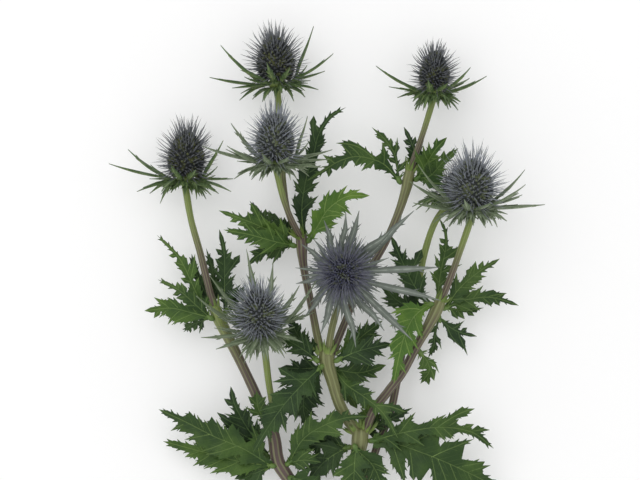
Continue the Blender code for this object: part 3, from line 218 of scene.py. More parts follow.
# Each leaf: its foot, then its blades. A blade has its path, which starts at the foot, its half
# width, its number of teeth a side, and its lobes: how far along, which side (1 is left of the
# path, -1 right), length, angle from the midrib, half width and teeth.
LEAVES = {
    "leaf_1_left": ((-17.0, -3.0, 25.5), [
        ([(-27, 4, 28), (-42, 10.8, 31), (-60, 17.4, 29)], 3.6, 3,
         [(0.42, -1, 15, 42, 2.2, 1), (0.62, 1, 6, 40, 1.4, 0)]),
        ([(-27, -1.0, 31), (-42, 3.2, 34), (-57, 6, 33)], 4.0, 2, [(0.45, -1, 9, 32, 1.8, 0)]),
        ([(-28, -6, 22), (-37, -9, 20), (-43, -15, 17)], 3.0, 2, []),
        ([(-25, 5, 21.5), (-34, 13, 19), (-42, 23, 16)], 3.4, 2, [(0.5, -1, 8, 40, 1.6, 0)]),
    ]),
    "leaf_1_back": ((-9.4, 1.0, 18.6), [
        ([(-11, 18, 18.5), (-8.5, 36, 20.5), (-4, 51, 23), (-0.6, 64, 24), (6, 74, 24),
          (15, 79.5, 22)], 4.4, 4, [(0.66, 1, 15, 30, 1.9, 1), (0.30, 1, 10, 45, 1.8, 0)]),
        ([(-19, 6, 15.6), (-27, 13, 14), (-33, 17.5, 13)], 2.2, 1, [(0.5, 1, 6, 40, 1.2, 0)])]),
    "leaf_1_right": ((-6.0, 0.8, 26.9), [
        ([(-1, 9, 29), (5, 18.5, 31), (16, 26, 32), (29, 26.6, 29)], 5.2, 3,
         [(0.36, 1, 13, 38, 2.6, 0), (0.55, -1, 12, 62, 2.4, 0), (0.72, 1, 8, 24, 1.6, 0)])]),
    "leaf_2_left": ((47.2, 36.4, 23.5), [
        ([(39, 45, 27), (31, 48.6, 30), (21, 50, 32), (11, 47, 32.6), (2, 41.5, 31.5),
          (-7, 36, 29)], 3.6, 4,
         [(0.30, -1, 22, 28, 2.4, 1), (0.20, -1, 12, 62, 2.0, 0), (0.52, -1, 8, 64, 1.6, 0),
          (0.70, -1, 8, 70, 1.6, 0)]),
        ([(45.5, 50, 20), (40, 59.5, 19), (31.8, 67.4, 17)], 2.1, 1, [(0.42, -1, 9, 42, 1.2, 0)]),
    ]),
    "leaf_2_back": ((53.6, 38.6, 16.4), [
        ([(57.5, 49, 15), (55.8, 57, 15), (51, 67.4, 14)], 2.8, 2,
         [(0.30, -1, 17, 30, 1.4, 1), (0.2, 1, 8, 46, 1.2, 0)])]),
    "leaf_2_right": ((58.6, 37.0, 23.5), [
        ([(64, 46, 30), (69, 54, 35), (75.4, 60.8, 37)], 4.2, 2, [(0.35, -1, 12, 26, 1.8, 0)]),
        ([(66, 38.4, 31), (73, 46, 40.5), (82, 54.4, 43)], 4.2, 2, [(0.5, 1, 8, 34, 1.4, 0)])]),
    "leaf_3_left": ((-66.4, -46.6, 25.0), [
        ([(-73.5, -34, 22), (-82.8, -14, 19), (-90, -5, 16), (-98, 2.6, 12)], 2.6, 3,
         [(0.42, -1, 14, 38, 2.2, 0)]),
        ([(-75, -38.6, 27), (-85, -30, 27), (-97, -24, 23)], 2.4, 2, [(0.5, -1, 7, 36, 1.3, 0)]),
        ([(-78, -43.5, 24), (-90, -41.0, 22), (-105, -42.6, 17)], 4.8, 3,
         [(0.62, -1, 10, 42, 2.0, 0)]),
        ([(-73, -49.4, 21), (-78, -51.6, 17), (-82, -55.2, 12)], 2.0, 1, [])]),
    "leaf_3_back": ((-63.0, -42.6, 16.0), [
        ([(-70, -30, 15), (-75, -19, 13), (-77.4, -9, 10)], 3.8, 2, [(0.4, 1, 9, 30, 1.6, 0)]),
        ([(-64, -30, 14), (-65, -18, 13), (-68.6, -5.6, 11)], 2.0, 1, [])]),
    "leaf_3_right": ((-56.6, -43.0, 20.0), [
        ([(-57.5, -30, 18), (-57.4, -16, 18), (-58, -5, 19), (-60.4, 5.4, 21)], 3.8, 3,
         [(0.42, -1, 15, 36, 2.2, 1)]),
        ([(-50, -36, 16), (-46, -28, 14)], 3.0, 1, [])]),
    "leaf_4_up": ((70.4, -37.0, 19.4), [
        ([(72.6, -20, 20), (75.6, -5, 22), (75.4, 5, 23.6), (72, 12.4, 24.6)], 2.6, 3,
         [(0.50, -1, 14, 44, 1.9, 0), (0.34, -1, 13, 56, 1.6, 0), (0.36, 1, 10, 34, 1.3, 0)])]),
    "leaf_4_left": ((65.6, -38.6, 25.6), [
        ([(57, -28, 23), (50, -14, 21), (43, 2, 20)], 4.6, 3,
         [(0.44, -1, 17, 50, 3.0, 1), (0.3, 1, 10, 40, 1.8, 0)]),
        ([(56.5, -46, 29), (50.5, -58, 30.5), (47, -72, 31), (44.4, -85.4, 29)], 6.0, 3,
         [(0.52, -1, 9, 34, 2.6, 0), (0.46, 1, 13, 30, 2.6, 0)]),
        ([(57, -41, 19), (46, -36, 15), (38, -27, 12)], 5.2, 2, [(0.4, -1, 10, 44, 2.0, 0)])]),
    "leaf_4_right": ((75.8, -40.6, 21.6), [
        ([(84, -29, 23), (95, -19.5, 24), (107.6, -11.6, 22)], 3.6, 3,
         [(0.46, 1, 12, 30, 1.9, 0), (0.24, 1, 11, 44, 1.9, 0), (0.55, -1, 8, 34, 1.5, 0)]),
        ([(87, -36.4, 20), (99, -34.4, 20), (108, -35.6, 19), (119, -39.2, 16)], 3.4, 3,
         [(0.56, 1, 11, 22, 1.7, 0), (0.25, 1, 8, 36, 1.4, 0)]),
        ([(87, -42.6, 17), (98, -41, 14)], 1.8, 1, [])]),
    "leaf_4_lower": ((71.6, -47.0, 19.4), [
        ([(79, -53, 17), (85.5, -56, 15), (94, -58, 12)], 2.3, 2,
         [(0.40, 1, 8, 58, 1.3, 0), (0.55, -1, 14, 56, 1.4, 0), (0.22, -1, 15, 34, 1.3, 0)]),
        ([(69.2, -57, 17), (68.6, -64, 15), (65.4, -71, 12)], 1.7, 1, [(0.4, 1, 8, 34, 1.1, 0)])]),
    "leaf_4_stem": ((60.2, -67.8, 20.8), [
        ([(64.5, -73, 21), (65.8, -79, 20), (61, -86, 16)], 3.0, 1, [(0.5, 1, 6, 50, 1.4, 0)])]),
    "leaf_5_left": ((-2.8, -71.4, 26.4), [
        ([(-9, -66.5, 26), (-18, -61.0, 23), (-26.6, -57.4, 18)], 3.8, 2, []),
        ([(-11, -61, 20), (-19, -47, 13)], 3.8, 1, [(0.5, 1, 9, 30, 1.8, 0)])]),
    "leaf_5_front": ((0.0, -76.8, 28.4), [
        ([(-11, -87, 35), (-21, -98, 37), (-31, -112, 35), (-39.6, -126.4, 29)], 6.6, 4,
         [(0.22, -1, 17, 76, 2.4, 1), (0.34, -1, 14, 48, 2.2, 0), (0.30, 1, 12, 44, 2.4, 0),
          (0.14, 1, 12, 62, 1.7, 0), (0.62, 1, 9, 30, 2.0, 0)])]),
    "leaf_5_back": ((0.4, -76.6, 19.8), [
        ([(-10, -77.5, 18), (-23, -77, 15)], 3.8, 2, [(0.5, -1, 8, 40, 1.6, 0)]),
        ([(-8, -89, 17), (-10, -102, 16), (-6, -115, 15)], 7.0, 3,
         [(0.30, -1, 12, 50, 2.2, 0), (0.44, 1, 12, 44, 2.2, 0)])]),
    "leaf_5_right": ((11.2, -71.6, 26.6), [
        ([(24, -66.4, 28), (42, -62.4, 25)], 5.6, 3, [(0.4, 1, 12, 34, 2.2, 0)]),
        ([(24, -59, 23.6), (37, -49, 18)], 5.2, 2, [(0.45, -1, 10, 34, 1.9, 0)])]),
    "leaf_5_lower": ((8.8, -77.8, 18.6), [
        ([(16, -87, 24), (27, -94.5, 30), (38, -104, 34), (46.4, -118.2, 34)], 3.6, 2,
         [(0.60, 1, 16, 42, 2.4, 1), (0.3, -1, 7, 36, 1.4, 0)]),
        ([(24, -80, 17), (39, -75.6, 15)], 4.6, 2, [(0.4, -1, 9, 44, 1.8, 0)]),
        ([(15, -89, 15), (22, -101, 12)], 5.4, 2, [(0.4, 1, 10, 40, 2.0, 0)])]),
    "leaf_6_right": ((31.7, -120.8, 21.0), [
        ([(46, -122.6, 24), (72, -132, 26), (98, -144.4, 21), (110, -152, 15)], 11.5, 5,
         [(0.26, -1, 19, 62, 2.4, 1), (0.42, -1, 19, 56, 2.8, 1), (0.70, -1, 15, 40, 2.6, 1)]),
        ([(50, -115.6, 29), (72, -112.4, 30), (91, -115.4, 27), (104, -125, 22)], 5.0, 3,
         [(0.52, 1, 22, 38, 3.4, 1), (0.78, 1, 10, 40, 2.0, 0)])]),
    "leaf_6_back": ((25.4, -116.6, 13.0), [
        ([(29.5, -104, 12), (27, -92, 9)], 4.4, 2, [(0.35, 1, 8, 34, 1.8, 0)]),
        ([(40, -109, 16.8), (55, -101.6, 15)], 2.8, 1, [])]),
    "leaf_6_left": ((16.6, -125.0, 18.0), [
        ([(3, -122, 16), (-10, -126, 14)], 5.2, 2, [(0.4, -1, 9, 44, 2.0, 0)]),
        ([(6, -131, 16.5), (-3, -140, 16), (-7, -150, 17)], 5.6, 3,
         [(0.36, 1, 9, 44, 2.4, 0), (0.36, -1, 13, 46, 2.4, 0)])]),
    "leaf_6_lower": ((21.4, -125.4, 26.6), [
        ([(32, -136, 25), (38, -150, 22)], 5.4, 2, [(0.4, 1, 10, 40, 2.0, 0)]),
        ([(20.6, -138, 29), (19.6, -156, 27)], 6.6, 3,
         [(0.40, 1, 14, 44, 2.6, 1), (0.26, -1, 14, 56, 2.4, 1)])]),
    "leaf_7_left": ((-29.5, -136.0, 18.1), [
        ([(-46, -125.6, 23), (-63, -118.4, 25), (-81, -109.4, 22), (-96.6, -102.4, 16)], 7.4, 5,
         [(0.34, -1, 13, 40, 2.6, 0), (0.52, -1, 10, 36, 2.4, 0)]),
        ([(-50, -133, 20), (-72, -127.4, 15), (-94, -121.8, 10)], 6.6, 3,
         [(0.66, 1, 9, 36, 2.6, 0)]),
        ([(-42, -141, 17), (-56.6, -136.8, 10)], 3.6, 2, [(0.4, 1, 8, 36, 1.6, 0)])]),
    "leaf_7_up": ((-32.2, -130.0, 12.6), [
        ([(-44, -113, 17), (-51.4, -99, 19), (-53.6, -89, 18)], 5.0, 3,
         [(0.20, 1, 26, 26, 2.1, 1), (0.40, 1, 20, 34, 1.6, 1), (0.40, -1, 10, 34, 1.8, 0),
          (0.16, -1, 13, 34, 1.9, 0)])]),
    "leaf_7_right": ((-18.8, -134.4, 17.0), [
        ([(-10, -119.6, 24), (3, -111, 29), (16, -106.6, 31), (28.4, -106.0, 29)], 5.2, 4,
         [(0.42, -1, 20, 28, 2.8, 1), (0.2, 1, 13, 40, 2.2, 0)]),
        ([(-10, -132.4, 22), (-0.4, -133.6, 21)], 3.8, 2, [])]),
    "leaf_7_lower": ((-16.6, -143.6, 18.8), [
        ([(-11, -144.6, 22), (2, -151.6, 18)], 6.0, 3, [(0.4, 1, 8, 36, 2.4, 0)])]),
    "leaf_fork": ((-33.8, -108.4, 22.5), [
        ([(-37.4, -100, 26), (-38, -91.6, 25)], 3.6, 1, [(0.32, -1, 8, 40, 1.5, 0)])]),
    "leaf_8_left": ((2.0, -184.4, 10.4), [
        ([(-14, -190, 13), (-34, -203, 14), (-54, -222, 8)], 11.0, 4,
         [(0.36, 1, 18, 50, 3.0, 1), (0.36, -1, 18, 46, 3.0, 1), (0.62, 1, 13, 40, 2.4, 0)])]),
    "leaf_8_right": ((17.6, -184.8, 10.6), [
        ([(32, -188, 13), (52, -200, 14), (72, -219, 8)], 11.0, 4,
         [(0.36, 1, 18, 46, 3.0, 1), (0.36, -1, 18, 50, 3.0, 1), (0.62, -1, 13, 40, 2.4, 0)])]),
}


# What each head looks like: the key of its spines' and florets' colours, then of its bracts', how
# far below the cone's middle the point is that its spines spread from, as a share of its half
# length, and how much longer than usual they are.
HEAD_LOOKS = {
    "head_1": ("slate", "green", 0.34, 1.0), "head_2": ("pale", "grey", 0.34, 1.0),
    "head_3": ("slate", "green", 0.34, 1.0), "head_4": ("slate", "green", 0.34, 0.95),
    "head_5": ("pale", "grey", 0.32, 1.05), "head_6": ("pale", "grey", 0.30, 1.05),
    "head_7": ("violet", "blue", -0.05, 1.3), "head_8": ("slate", "green", 0.34, 0.9),
}

# Leaves that are lighter or darker than the rest, with a tone for each blade where they differ.
LEAF_TONES = {
    "leaf_1_left": ("fresh", "fresh", "mid", "dark"), "leaf_1_right": ("bright",),
    "leaf_1_back": ("dark",), "leaf_2_back": ("dark",), "leaf_2_right": ("fresh", "mid"),
    "leaf_4_left": ("dark", "bright", "dark"), "leaf_3_left": ("fresh", "mid", "fresh", "dark"),
    "leaf_3_right": ("dark",), "leaf_3_back": ("dark",), "leaf_4_lower": ("dark",),
    "leaf_5_left": ("dark",), "leaf_5_back": ("dark",), "leaf_5_right": ("dark", "mid"),
    "leaf_6_back": ("fresh", "dark"), "leaf_6_left": ("dark",), "leaf_7_up": ("dark",),
    "leaf_5_front": ("dark",), "leaf_7_left": ("mid", "fresh", "dark"),
}


def place(point):
    """A layout point in the frame, in metres, and never under the surface."""
    moved = (Vector(point) - ORIGIN) * MM
    moved.z = max(moved.z, 0.0)
    return moved


def smooth_path(rows, step):
    """Points about step apart on a smooth curve through the rows, which may hold a radius too."""
    rows = [list(row) for row in rows]
    before = [2 * a - b for a, b in zip(rows[0], rows[1])]
    after = [2 * a - b for a, b in zip(rows[-1], rows[-2])]
    padded = [before] + rows + [after]
    out = []
    for k in range(1, len(padded) - 2):
        p0, p1, p2, p3 = padded[k - 1:k + 3]
        count = max(1, round(math.dist(p1[:3], p2[:3]) / step))
        for i in range(count):
            t = i / count
            out.append([0.5 * (2 * b + (c - a) * t + (2 * a - 5 * b + 4 * c - d) * t * t
                               + (3 * b - a - 3 * c + d) * t ** 3)
                        for a, b, c, d in zip(p0, p1, p2, p3)])
    out.append(rows[-1])
    return out


def smoothstep(low, high, x):
    """From 0 at low to 1 at high, with soft ends."""
    t = min(1.0, max(0.0, (x - low) / (high - low)))
    return t * t * (3 - 2 * t)


def spoke(side, other, angle):
    """The direction at an angle between two directions square to each other."""
    return side * math.cos(angle) + other * math.sin(angle)


def ring(centre, side, other, radius, sides, turn=0.0):
    """Points evenly round a centre."""
    return [centre + spoke(side, other, turn + math.tau * j / sides) * radius for j in range(sides)]


def scatter(rng, spread):
    """A random offset."""
    return Vector([rng.gauss(0, spread) for _ in range(3)])


def put(name, data):
    """A new object of the scene that shows this data."""
    made = bpy.data.objects.new(name, data)
    bpy.context.scene.collection.objects.link(made)
    return made


class Shape:
    """The faces of one piece, gathered before they become a mesh.

    Each face's corners have a place on the texture, in millimetres or as a share.
    """

    def __init__(self):
        self.verts = []
        self.faces = []
        self.spots = []
        self.slots = []

    def add(self, verts, faces, spots, slot=0):
        start = len(self.verts)
        self.verts += [place(v) for v in verts]
        self.faces += [tuple(start + i for i in face) for face in faces]
        self.spots += spots
        self.slots += [slot] * len(faces)

    def finish(self, name, node, slot, materials, sharp=50.0):
        """Make the piece, which stands for the CAD node. The slot is not used."""
        mesh = bpy.data.meshes.new(name)
        mesh.from_pydata(self.verts, [], self.faces)
        layer = mesh.uv_layers.new(name="spots")
        flat = [value for face in self.spots for corner in face for value in corner]
        layer.data.foreach_set("uv", flat)
        mesh.polygons.foreach_set("material_index", self.slots)
        for mat in materials:
            mesh.materials.append(mat)
        mesh.shade_smooth()
        mesh.set_sharp_from_angle(angle=math.radians(sharp))
        mesh.validate()
        piece = put(name, mesh)
        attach(piece, "root")
        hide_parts(node)


def ring_faces(rings, sides, closed_start, closed_end):
    """Faces between rings of equal size, with their texture corners: u round, v along."""
    faces, spots = [], []
    for i in range(rings - 1):
        for j in range(sides):
            k = (j + 1) % sides
            faces.append((i * sides + j, i * sides + k, (i + 1) * sides + k, (i + 1) * sides + j))
            u, w = j / sides, (j + 1) / sides
            spots.append([(u, i), (w, i), (w, i + 1), (u, i + 1)])
    if closed_start:
        faces.append(tuple(range(sides))[::-1])
        spots.append([(0.5, 0)] * sides)
    if closed_end:
        faces.append(tuple(range((rings - 1) * sides, rings * sides)))
        spots.append([(0.5, rings - 1)] * sides)
    return faces, spots


def pointed_faces(rings, sides):
    """The same for rings that are closed at their start and end in a point."""
    faces, spots = ring_faces(rings, sides, True, False)
    last = (rings - 1) * sides
    for j in range(sides):
        k = j + 1
        faces.append((last + j, last + k % sides, last + sides))
        spots.append([(j / sides, rings - 1), (k / sides, rings - 1), ((j + 0.5) / sides, rings)])
    return faces, spots


def carried_frames(points):
    """For each point of a line, its direction and two directions square to it, without twist."""
    frames = []
    side = None
    for i, point in enumerate(points):
        along = (points[min(i + 1, len(points) - 1)] - points[max(i - 1, 0)]).normalized()
        if side is None:
            side = along.cross(UP)
            if side.length < 0.1:
                side = along.cross(Vector((0.0, 1.0, 0.0)))
        side = (side - along * side.dot(along)).normalized()
        frames.append((along, side, along.cross(side)))
    return frames


def spike(shape, start, tip, half, slot, flat=0.6, bow=None, levels=(0.4, 0.75), shares=(0.9, 0.5)):
    """A pointed four-sided spine, a little flattened, with a bow that is an offset at its middle."""
    start, tip = Vector(start), Vector(tip)
    along = (tip - start).normalized()
    side = along.cross(UP)
    if side.length < 0.1:
        side = along.cross(Vector((1.0, 0.0, 0.0)))
    side.normalize()
    other = along.cross(side)
    verts, rows = [], [(0.0, 1.0)] + list(zip(levels, shares))
    for t, share in rows:
        centre = start.lerp(tip, t)
        if bow:
            centre = centre + bow * (4.0 * t * (1.0 - t))
        wide, thin = half * share, half * share * flat
        verts += [centre + side * wide, centre + other * thin]
        verts += [centre - side * wide, centre - other * thin]
    verts.append(tip)
    faces, spots = pointed_faces(len(rows), 4)
    marks = [t for t, _ in rows] + [1.0]
    shape.add(verts, faces, [[(u, marks[v]) for u, v in face] for face in spots], slot)


def head_frame(axis):
    """A head's axis and two directions square to it."""
    axis = Vector(axis).normalized()
    side = axis.cross(UP)
    if side.length < 0.3:
        side = axis.cross(Vector((0.0, 1.0, 0.0)))
    side.normalize()
    return axis, side, axis.cross(side)


class Egg:
    """The egg that a cone's florets stand on."""

    def __init__(self, base, axis, length, radius):
        self.axis, self.side, self.other = head_frame(axis)
        self.radius = radius * CONE_SLIM
        self.rise = length / (1.0 - CONE_FLOOR)
        self.middle = Vector(base) + self.axis * (HUB_HEIGHT + CONE_SEAT - CONE_FLOOR * self.rise)

    def at(self, level, angle, share=1.0):
        """A point on the egg and the direction out of it; level is 1 at its tip."""
        girth = math.sqrt(max(0.0, 1.0 - level * level)) * (1.0 - CONE_TAPER * max(0.0, level))
        out = spoke(self.side, self.other, angle)
        point = self.middle + (out * girth * self.radius + self.axis * level * self.rise) * share
        normal = (out * girth / self.radius + self.axis * level / self.rise).normalized()
        return point, normal


def add_core(shape, egg, slot):
    """The cone's smooth core, just under the florets, in the painted shade of the gaps between them.
    """
    sides, rings = 28, 18
    verts = []
    for i in range(rings):
        level = CONE_FLOOR + (0.995 - CONE_FLOOR) * i / (rings - 1)
        verts += [egg.at(level, math.tau * j / sides, 0.95)[0] for j in range(sides)]
    faces, spots = ring_faces(rings, sides, True, True)
    # All its texture places are at the florets' feet, so the core takes their painted gap shade all
    # over.
    shape.add(verts, faces, [[(0.0, 0.0)] * len(face) for face in spots], slot)


def add_floret(shape, point, along, size, rng, slot):
    """A bud: a rounded knob with pointed sepals round its tip."""
    side = along.cross(Vector((0.3, 0.5, 0.8))).normalized()
    other = along.cross(side)
    turn = rng.uniform(0, math.tau)
    rise = FLORET_RISE * size
    rows = ((-0.5, 0.75), (0.35 * rise, 1.0), (0.8 * rise, 0.72), (rise, 0.25))
    verts = []
    for height, share in rows:
        verts += ring(point + along * height, side, other, FLORET_RADIUS * size * share, 6, turn)
    faces, spots = ring_faces(len(rows), 6, True, True)
    shape.add(verts, faces, [[(u, v / 3) for u, v in face] for face in spots], slot)
    for j in range(SEPALS):
        out = spoke(side, other, turn + math.tau * (j + 0.5) / SEPALS)
        start = point + along * 0.5 * rise + out * FLORET_RADIUS * 0.8 * size
        tip = point + along * (rise + 0.9) + out * FLORET_RADIUS * rng.uniform(0.6, 1.3)
        spike(shape, start, tip, 0.2, slot, levels=(0.5,), shares=(0.7,))


def build_cone(name, number):
    """A dense cone: florets in spirals over an egg, and a stiff spine beside each one."""
    base, axis, length, radius, _ = HEADS[name]
    look, _, sunk, stretch = HEAD_LOOKS[name]
    rng = random.Random(90 + number)
    egg = Egg(base, axis, length, radius)
    focus = egg.middle - egg.axis * sunk * egg.rise
    shape = Shape()
    add_core(shape, egg, 0)
    for i in range(FLORETS):
        level = 1.0 - (i + 0.5) / FLORETS * (1.0 - CONE_FLOOR)
        angle = i * math.pi * (3.0 - math.sqrt(5.0))
        size = rng.uniform(0.85, 1.1) * (0.8 if i < TIP_FLORETS else 1.0)
        add_floret(shape, *egg.at(level, angle), size, rng, 0)
        spot, _ = egg.at(level - 0.03, angle + 0.09)
        aim = spot - focus
        aim += (aim - egg.axis * aim.dot(egg.axis)) * (SPINE_FAN - 1.0)
        aim = (aim.normalized() + scatter(rng, SPINE_STRAY)).normalized()
        reach = SPINE_REACH + (TOP_SPINE_REACH - SPINE_REACH) * max(0.0, level)
        reach *= rng.uniform(SHORTEST_SPINE, 1.0) * stretch * (radius / USUAL_RADIUS) ** 0.5
        reach *= LOW_SPINE if i % 3 == 0 else 1.0
        bow = scatter(rng, 0.45)
        half = SPINE_HALF * rng.uniform(0.85, 1.2)
        spike(shape, spot - aim * 1.2, spot + aim * reach, half, 1, bow=bow)
    mats = [FLORET_MATS[look], SPINE_MATS[look]]
    shape.finish(name + "_florets", name + "_cone", "floret", mats, 40.0)


def bract_lines(base, axis, side, other, tips, cone_length, cone_radius, dense, rng):
    """The long bracts' lines from the hub to their tips, as in the part, then slim and short ones."""
    rise = cone_length / (1.0 - CONE_FLOOR)
    middle = HUB_HEIGHT + CONE_SEAT - CONE_FLOOR * rise
    aims = []
    for tip in tips:
        tip = Vector(tip)
        height = tip.dot(axis)
        out = tip - axis * height
        aims.append((math.atan2(out.dot(other), out.dot(side)), out.length, height))
    aims.sort()
    count = len(aims)
    first = sum(angle - math.tau * i / count for i, (angle, _, _) in enumerate(aims)) / count

    def long_line(root, angle, reach, height, row):
        start = (BRACT_ROOT, HUB_MIDDLE + HUB_BULGE * math.sin(row))
        bend_height = start[1] + BRACT_SWEEP * (height - start[1])
        bend = (max(0.5 * reach, min(cone_radius + 2.0, 0.8 * reach)), bend_height)
        points = []
        for k in range(11):
            t = k / 10
            mix = ((1 - t) ** 2, 2 * t * (1 - t), t * t)
            r = mix[0] * start[0] + mix[1] * bend[0] + mix[2] * reach
            h = mix[0] * start[1] + mix[1] * bend[1] + mix[2] * height
            level = (h - middle) / rise
            if h > HUB_HEIGHT - 0.8 and abs(level) < 1.0:
                r = max(r, cone_radius * math.sqrt(1.0 - level * level) + CONE_ROOM)
            out = spoke(side, other, root + (angle - root) * min(1.0, t / TURNED))
            points.append((base + out * r + axis * h, axis.cross(out)))
        return points

    long, slim, short = [], [], []
    for i, (angle, reach, height) in enumerate(aims):
        root = first + math.tau * i / count
        long.append(long_line(root, angle, reach, height, UPPER_ROWS[i % 2]))
    extra = random.Random(rng.random() + count)
    turn = rng.uniform(0, 1)
    for i in range(SMALL_BRACTS):
        out = spoke(side, other, math.tau * (i + turn) / SMALL_BRACTS)
        reach = rng.uniform(12, 16)
        drop = rng.uniform(4, 8)
        fall = (out * reach - axis * drop).z
        if base.z + fall < CLEARANCE:
            reach *= (base.z - CLEARANCE) / -fall
        short.append(short_line(base, axis, out, reach, drop))
    for i in range(count):
        nxt = (i + 1) % count
        gap = (aims[nxt][0] - aims[i][0]) % math.tau
        between = (1 if gap < NARROW_GAP else 2) * (2 if dense else 1)
        for k in range(between):
            share = (k + 1) / (between + 1)
            angle = aims[i][0] + gap * share
            root = first + math.tau * (i + share) / count
            ends = zip(aims[i][1:], aims[nxt][1:])
            reach, height = (a * (1 - share) + b * share for a, b in ends)
            reach = min(30.0, reach) * extra.uniform(0.62, 1.0)
            height = height * 0.6 + extra.uniform(-4, 3)
            toward = max(0.0, spoke(side, other, angle).z)
            height -= 8.0 * toward
            reach *= 1.0 - 0.3 * toward
            slim.append(long_line(root, angle, max(reach, 11.0), height, UPPER_ROWS[i % 2] * 0.5))
    for i in range(EXTRA_SHORT):
        out = spoke(side, other, math.tau * (i + extra.uniform(0.2, 0.8)) / EXTRA_SHORT)
        short.append(short_line(base, axis, out, extra.uniform(10, 17), extra.uniform(-1, 9)))
    return long, slim, short


def short_line(base, axis, out, reach, drop):
    """A short bract, bent back under the head."""
    points = []
    for k in range(6):
        t = k / 5
        r = 3.5 + (reach - 3.5) * t
        h = 0.7 - (drop + 0.7) * t * t
        points.append((base + out * r + axis * h, axis.cross(out)))
    return points


def line_length(points):
    """The length of a bract's line."""
    return sum((b[0] - a[0]).length for a, b in zip(points, points[1:]))


def at_share(points, t):
    """The place at share t of a bract's line, with its direction along and across."""
    last = len(points) - 1
    k = min(int(t * last), last - 1)
    f = t * last - k
    centre = points[k][0].lerp(points[k + 1][0], f)
    along = (points[k + 1][0] - points[k][0]).normalized()
    return centre, along, points[k][1].lerp(points[k + 1][1], f).normalized()


def add_bract(shape, points, half, teeth, axis, rng, slot):
    """A channelled blade that narrows to a spine, with pairs of spiny teeth on its edges."""
    span = line_length(points)
    verts, marks = [], []
    for i in range(BRACT_STATIONS):
        t = i / (BRACT_STATIONS - 1) * 0.985
        centre, along, across = at_share(points, t)
        up = across.cross(along)
        if up.dot(axis) < 0:
            up = -up
        wide = half * (0.5 + 0.5 * smoothstep(0.05, 0.55, t)) * (1.0 - smoothstep(0.6, 1.04, t) * 0.94)
        depth = 0.28 + 0.3 * wide
        verts += [centre - across * wide + up * 0.45 * wide, centre - up * depth,
                  centre + across * wide + up * 0.45 * wide, centre + up * 0.12]
        marks.append(t * span)
    verts.append(points[-1][0])
    marks.append(span)
    sides = {0.0: -1.0, 0.5: 1.0, 1.0: -1.0}
    faces, spots = pointed_faces(BRACT_STATIONS, 4)
    spots = [[(marks[v], sides.get(u, 0.0)) for u, v in face] for face in spots]
    shape.add(verts, faces, spots, slot)
    for t in teeth:
        for sign in (-1, 1):
            spot = t + rng.uniform(-0.05, 0.05)
            centre, along, across = at_share(points, spot)
            reach = rng.uniform(1.8, 3.6) * min(1.0, half / 1.3)
            start = centre + across * sign * half * 0.4 - along * 0.5
            tip = centre + across * sign * (0.8 * half + 0.5 * reach) + along * 1.1 * reach
            tip += axis * rng.uniform(-0.4, 0.8)
            spike(shape, start, tip, 0.6, slot, flat=0.4, levels=(0.4,), shares=(0.7,))


def add_hub(shape, base, axis, side, other, slot):
    """The green disc under the cone, with the stalk's flare below it."""
    sides, rows = 28, []
    for i in range(9):
        latitude = math.radians(-75 + 150 * i / 8)
        rows.append((HUB_RADIUS * math.cos(latitude), HUB_MIDDLE + HUB_BULGE * math.sin(latitude)))
    rows = [(1.9, -1.6), (2.1, -0.6)] + rows[1:]
    verts = []
    for r, h in rows:
        verts += ring(base + axis * h, side, other, r, sides)
    faces, spots = ring_faces(len(rows), sides, True, True)
    shape.add(verts, faces, [[(v, u) for u, v in face] for face in spots], slot)


def build_bracts(name, number):
    """The ring of bracts under a cone: the part's own, with slimmer ones between and below."""
    base, axis, length, radius, tips = HEADS[name]
    base = Vector(base)
    axis, side, other = head_frame(axis)
    rng = random.Random(40 + number)
    look = HEAD_LOOKS[name][1]
    dense = look != "green"
    long, slim, short = bract_lines(base, axis, side, other, tips, length, radius, dense, rng)
    shape = Shape()
    add_hub(shape, base, axis, side, other, 1)
    for points in long:
        if line_length(points) > LONG_SPAN:
            add_bract(shape, points, BRACT_HALF, (0.3, 0.42, 0.54, 0.66, 0.78), axis, rng, 0)
        else:
            add_bract(shape, points, BRACT_HALF * 0.85, (0.36, 0.52, 0.68), axis, rng, 0)
    for points in slim:
        add_bract(shape, points, SLIM_HALF, (0.38, 0.62), axis, rng, 0)
    for points in short:
        add_bract(shape, points, SHORT_HALF, (0.45,), axis, rng, 0)
    mats = [BRACT_MATS[look], BRACT_MATS["hub"]]
    shape.finish(name + "_ruff", name + "_bracts", "bract", mats, 55.0)


class Rib:
    """The smooth line along the middle of a blade, with the directions across and out of it."""

    def __init__(self, path):
        self.points = [Vector(p[:3]) for p in smooth_path(path, 1.6)]
        self.reach = [0.0]
        for a, b in zip(self.points, self.points[1:]):
            self.reach.append(self.reach[-1] + (b - a).length)
        self.length = self.reach[-1]

    def at(self, s):
        """The line's point at length s, the direction across it and the direction out of it."""
        inner = min(max(s, 0.0), self.length - 1e-6)
        low = min(bisect_right(self.reach, inner), len(self.points) - 1) - 1
        a, b = self.points[low], self.points[low + 1]
        along = (b - a).normalized()
        point = a + along * (s - self.reach[low])
        f = (inner - self.reach[low]) / (self.reach[low + 1] - self.reach[low])
        side = UP.cross(self.tangent(low).lerp(self.tangent(low + 1), f)).normalized()
        return point, side, along.cross(side).normalized()

    def tangent(self, k):
        before = self.points[max(k - 1, 0)]
        after = self.points[min(k + 1, len(self.points) - 1)]
        return (after - before).normalized()


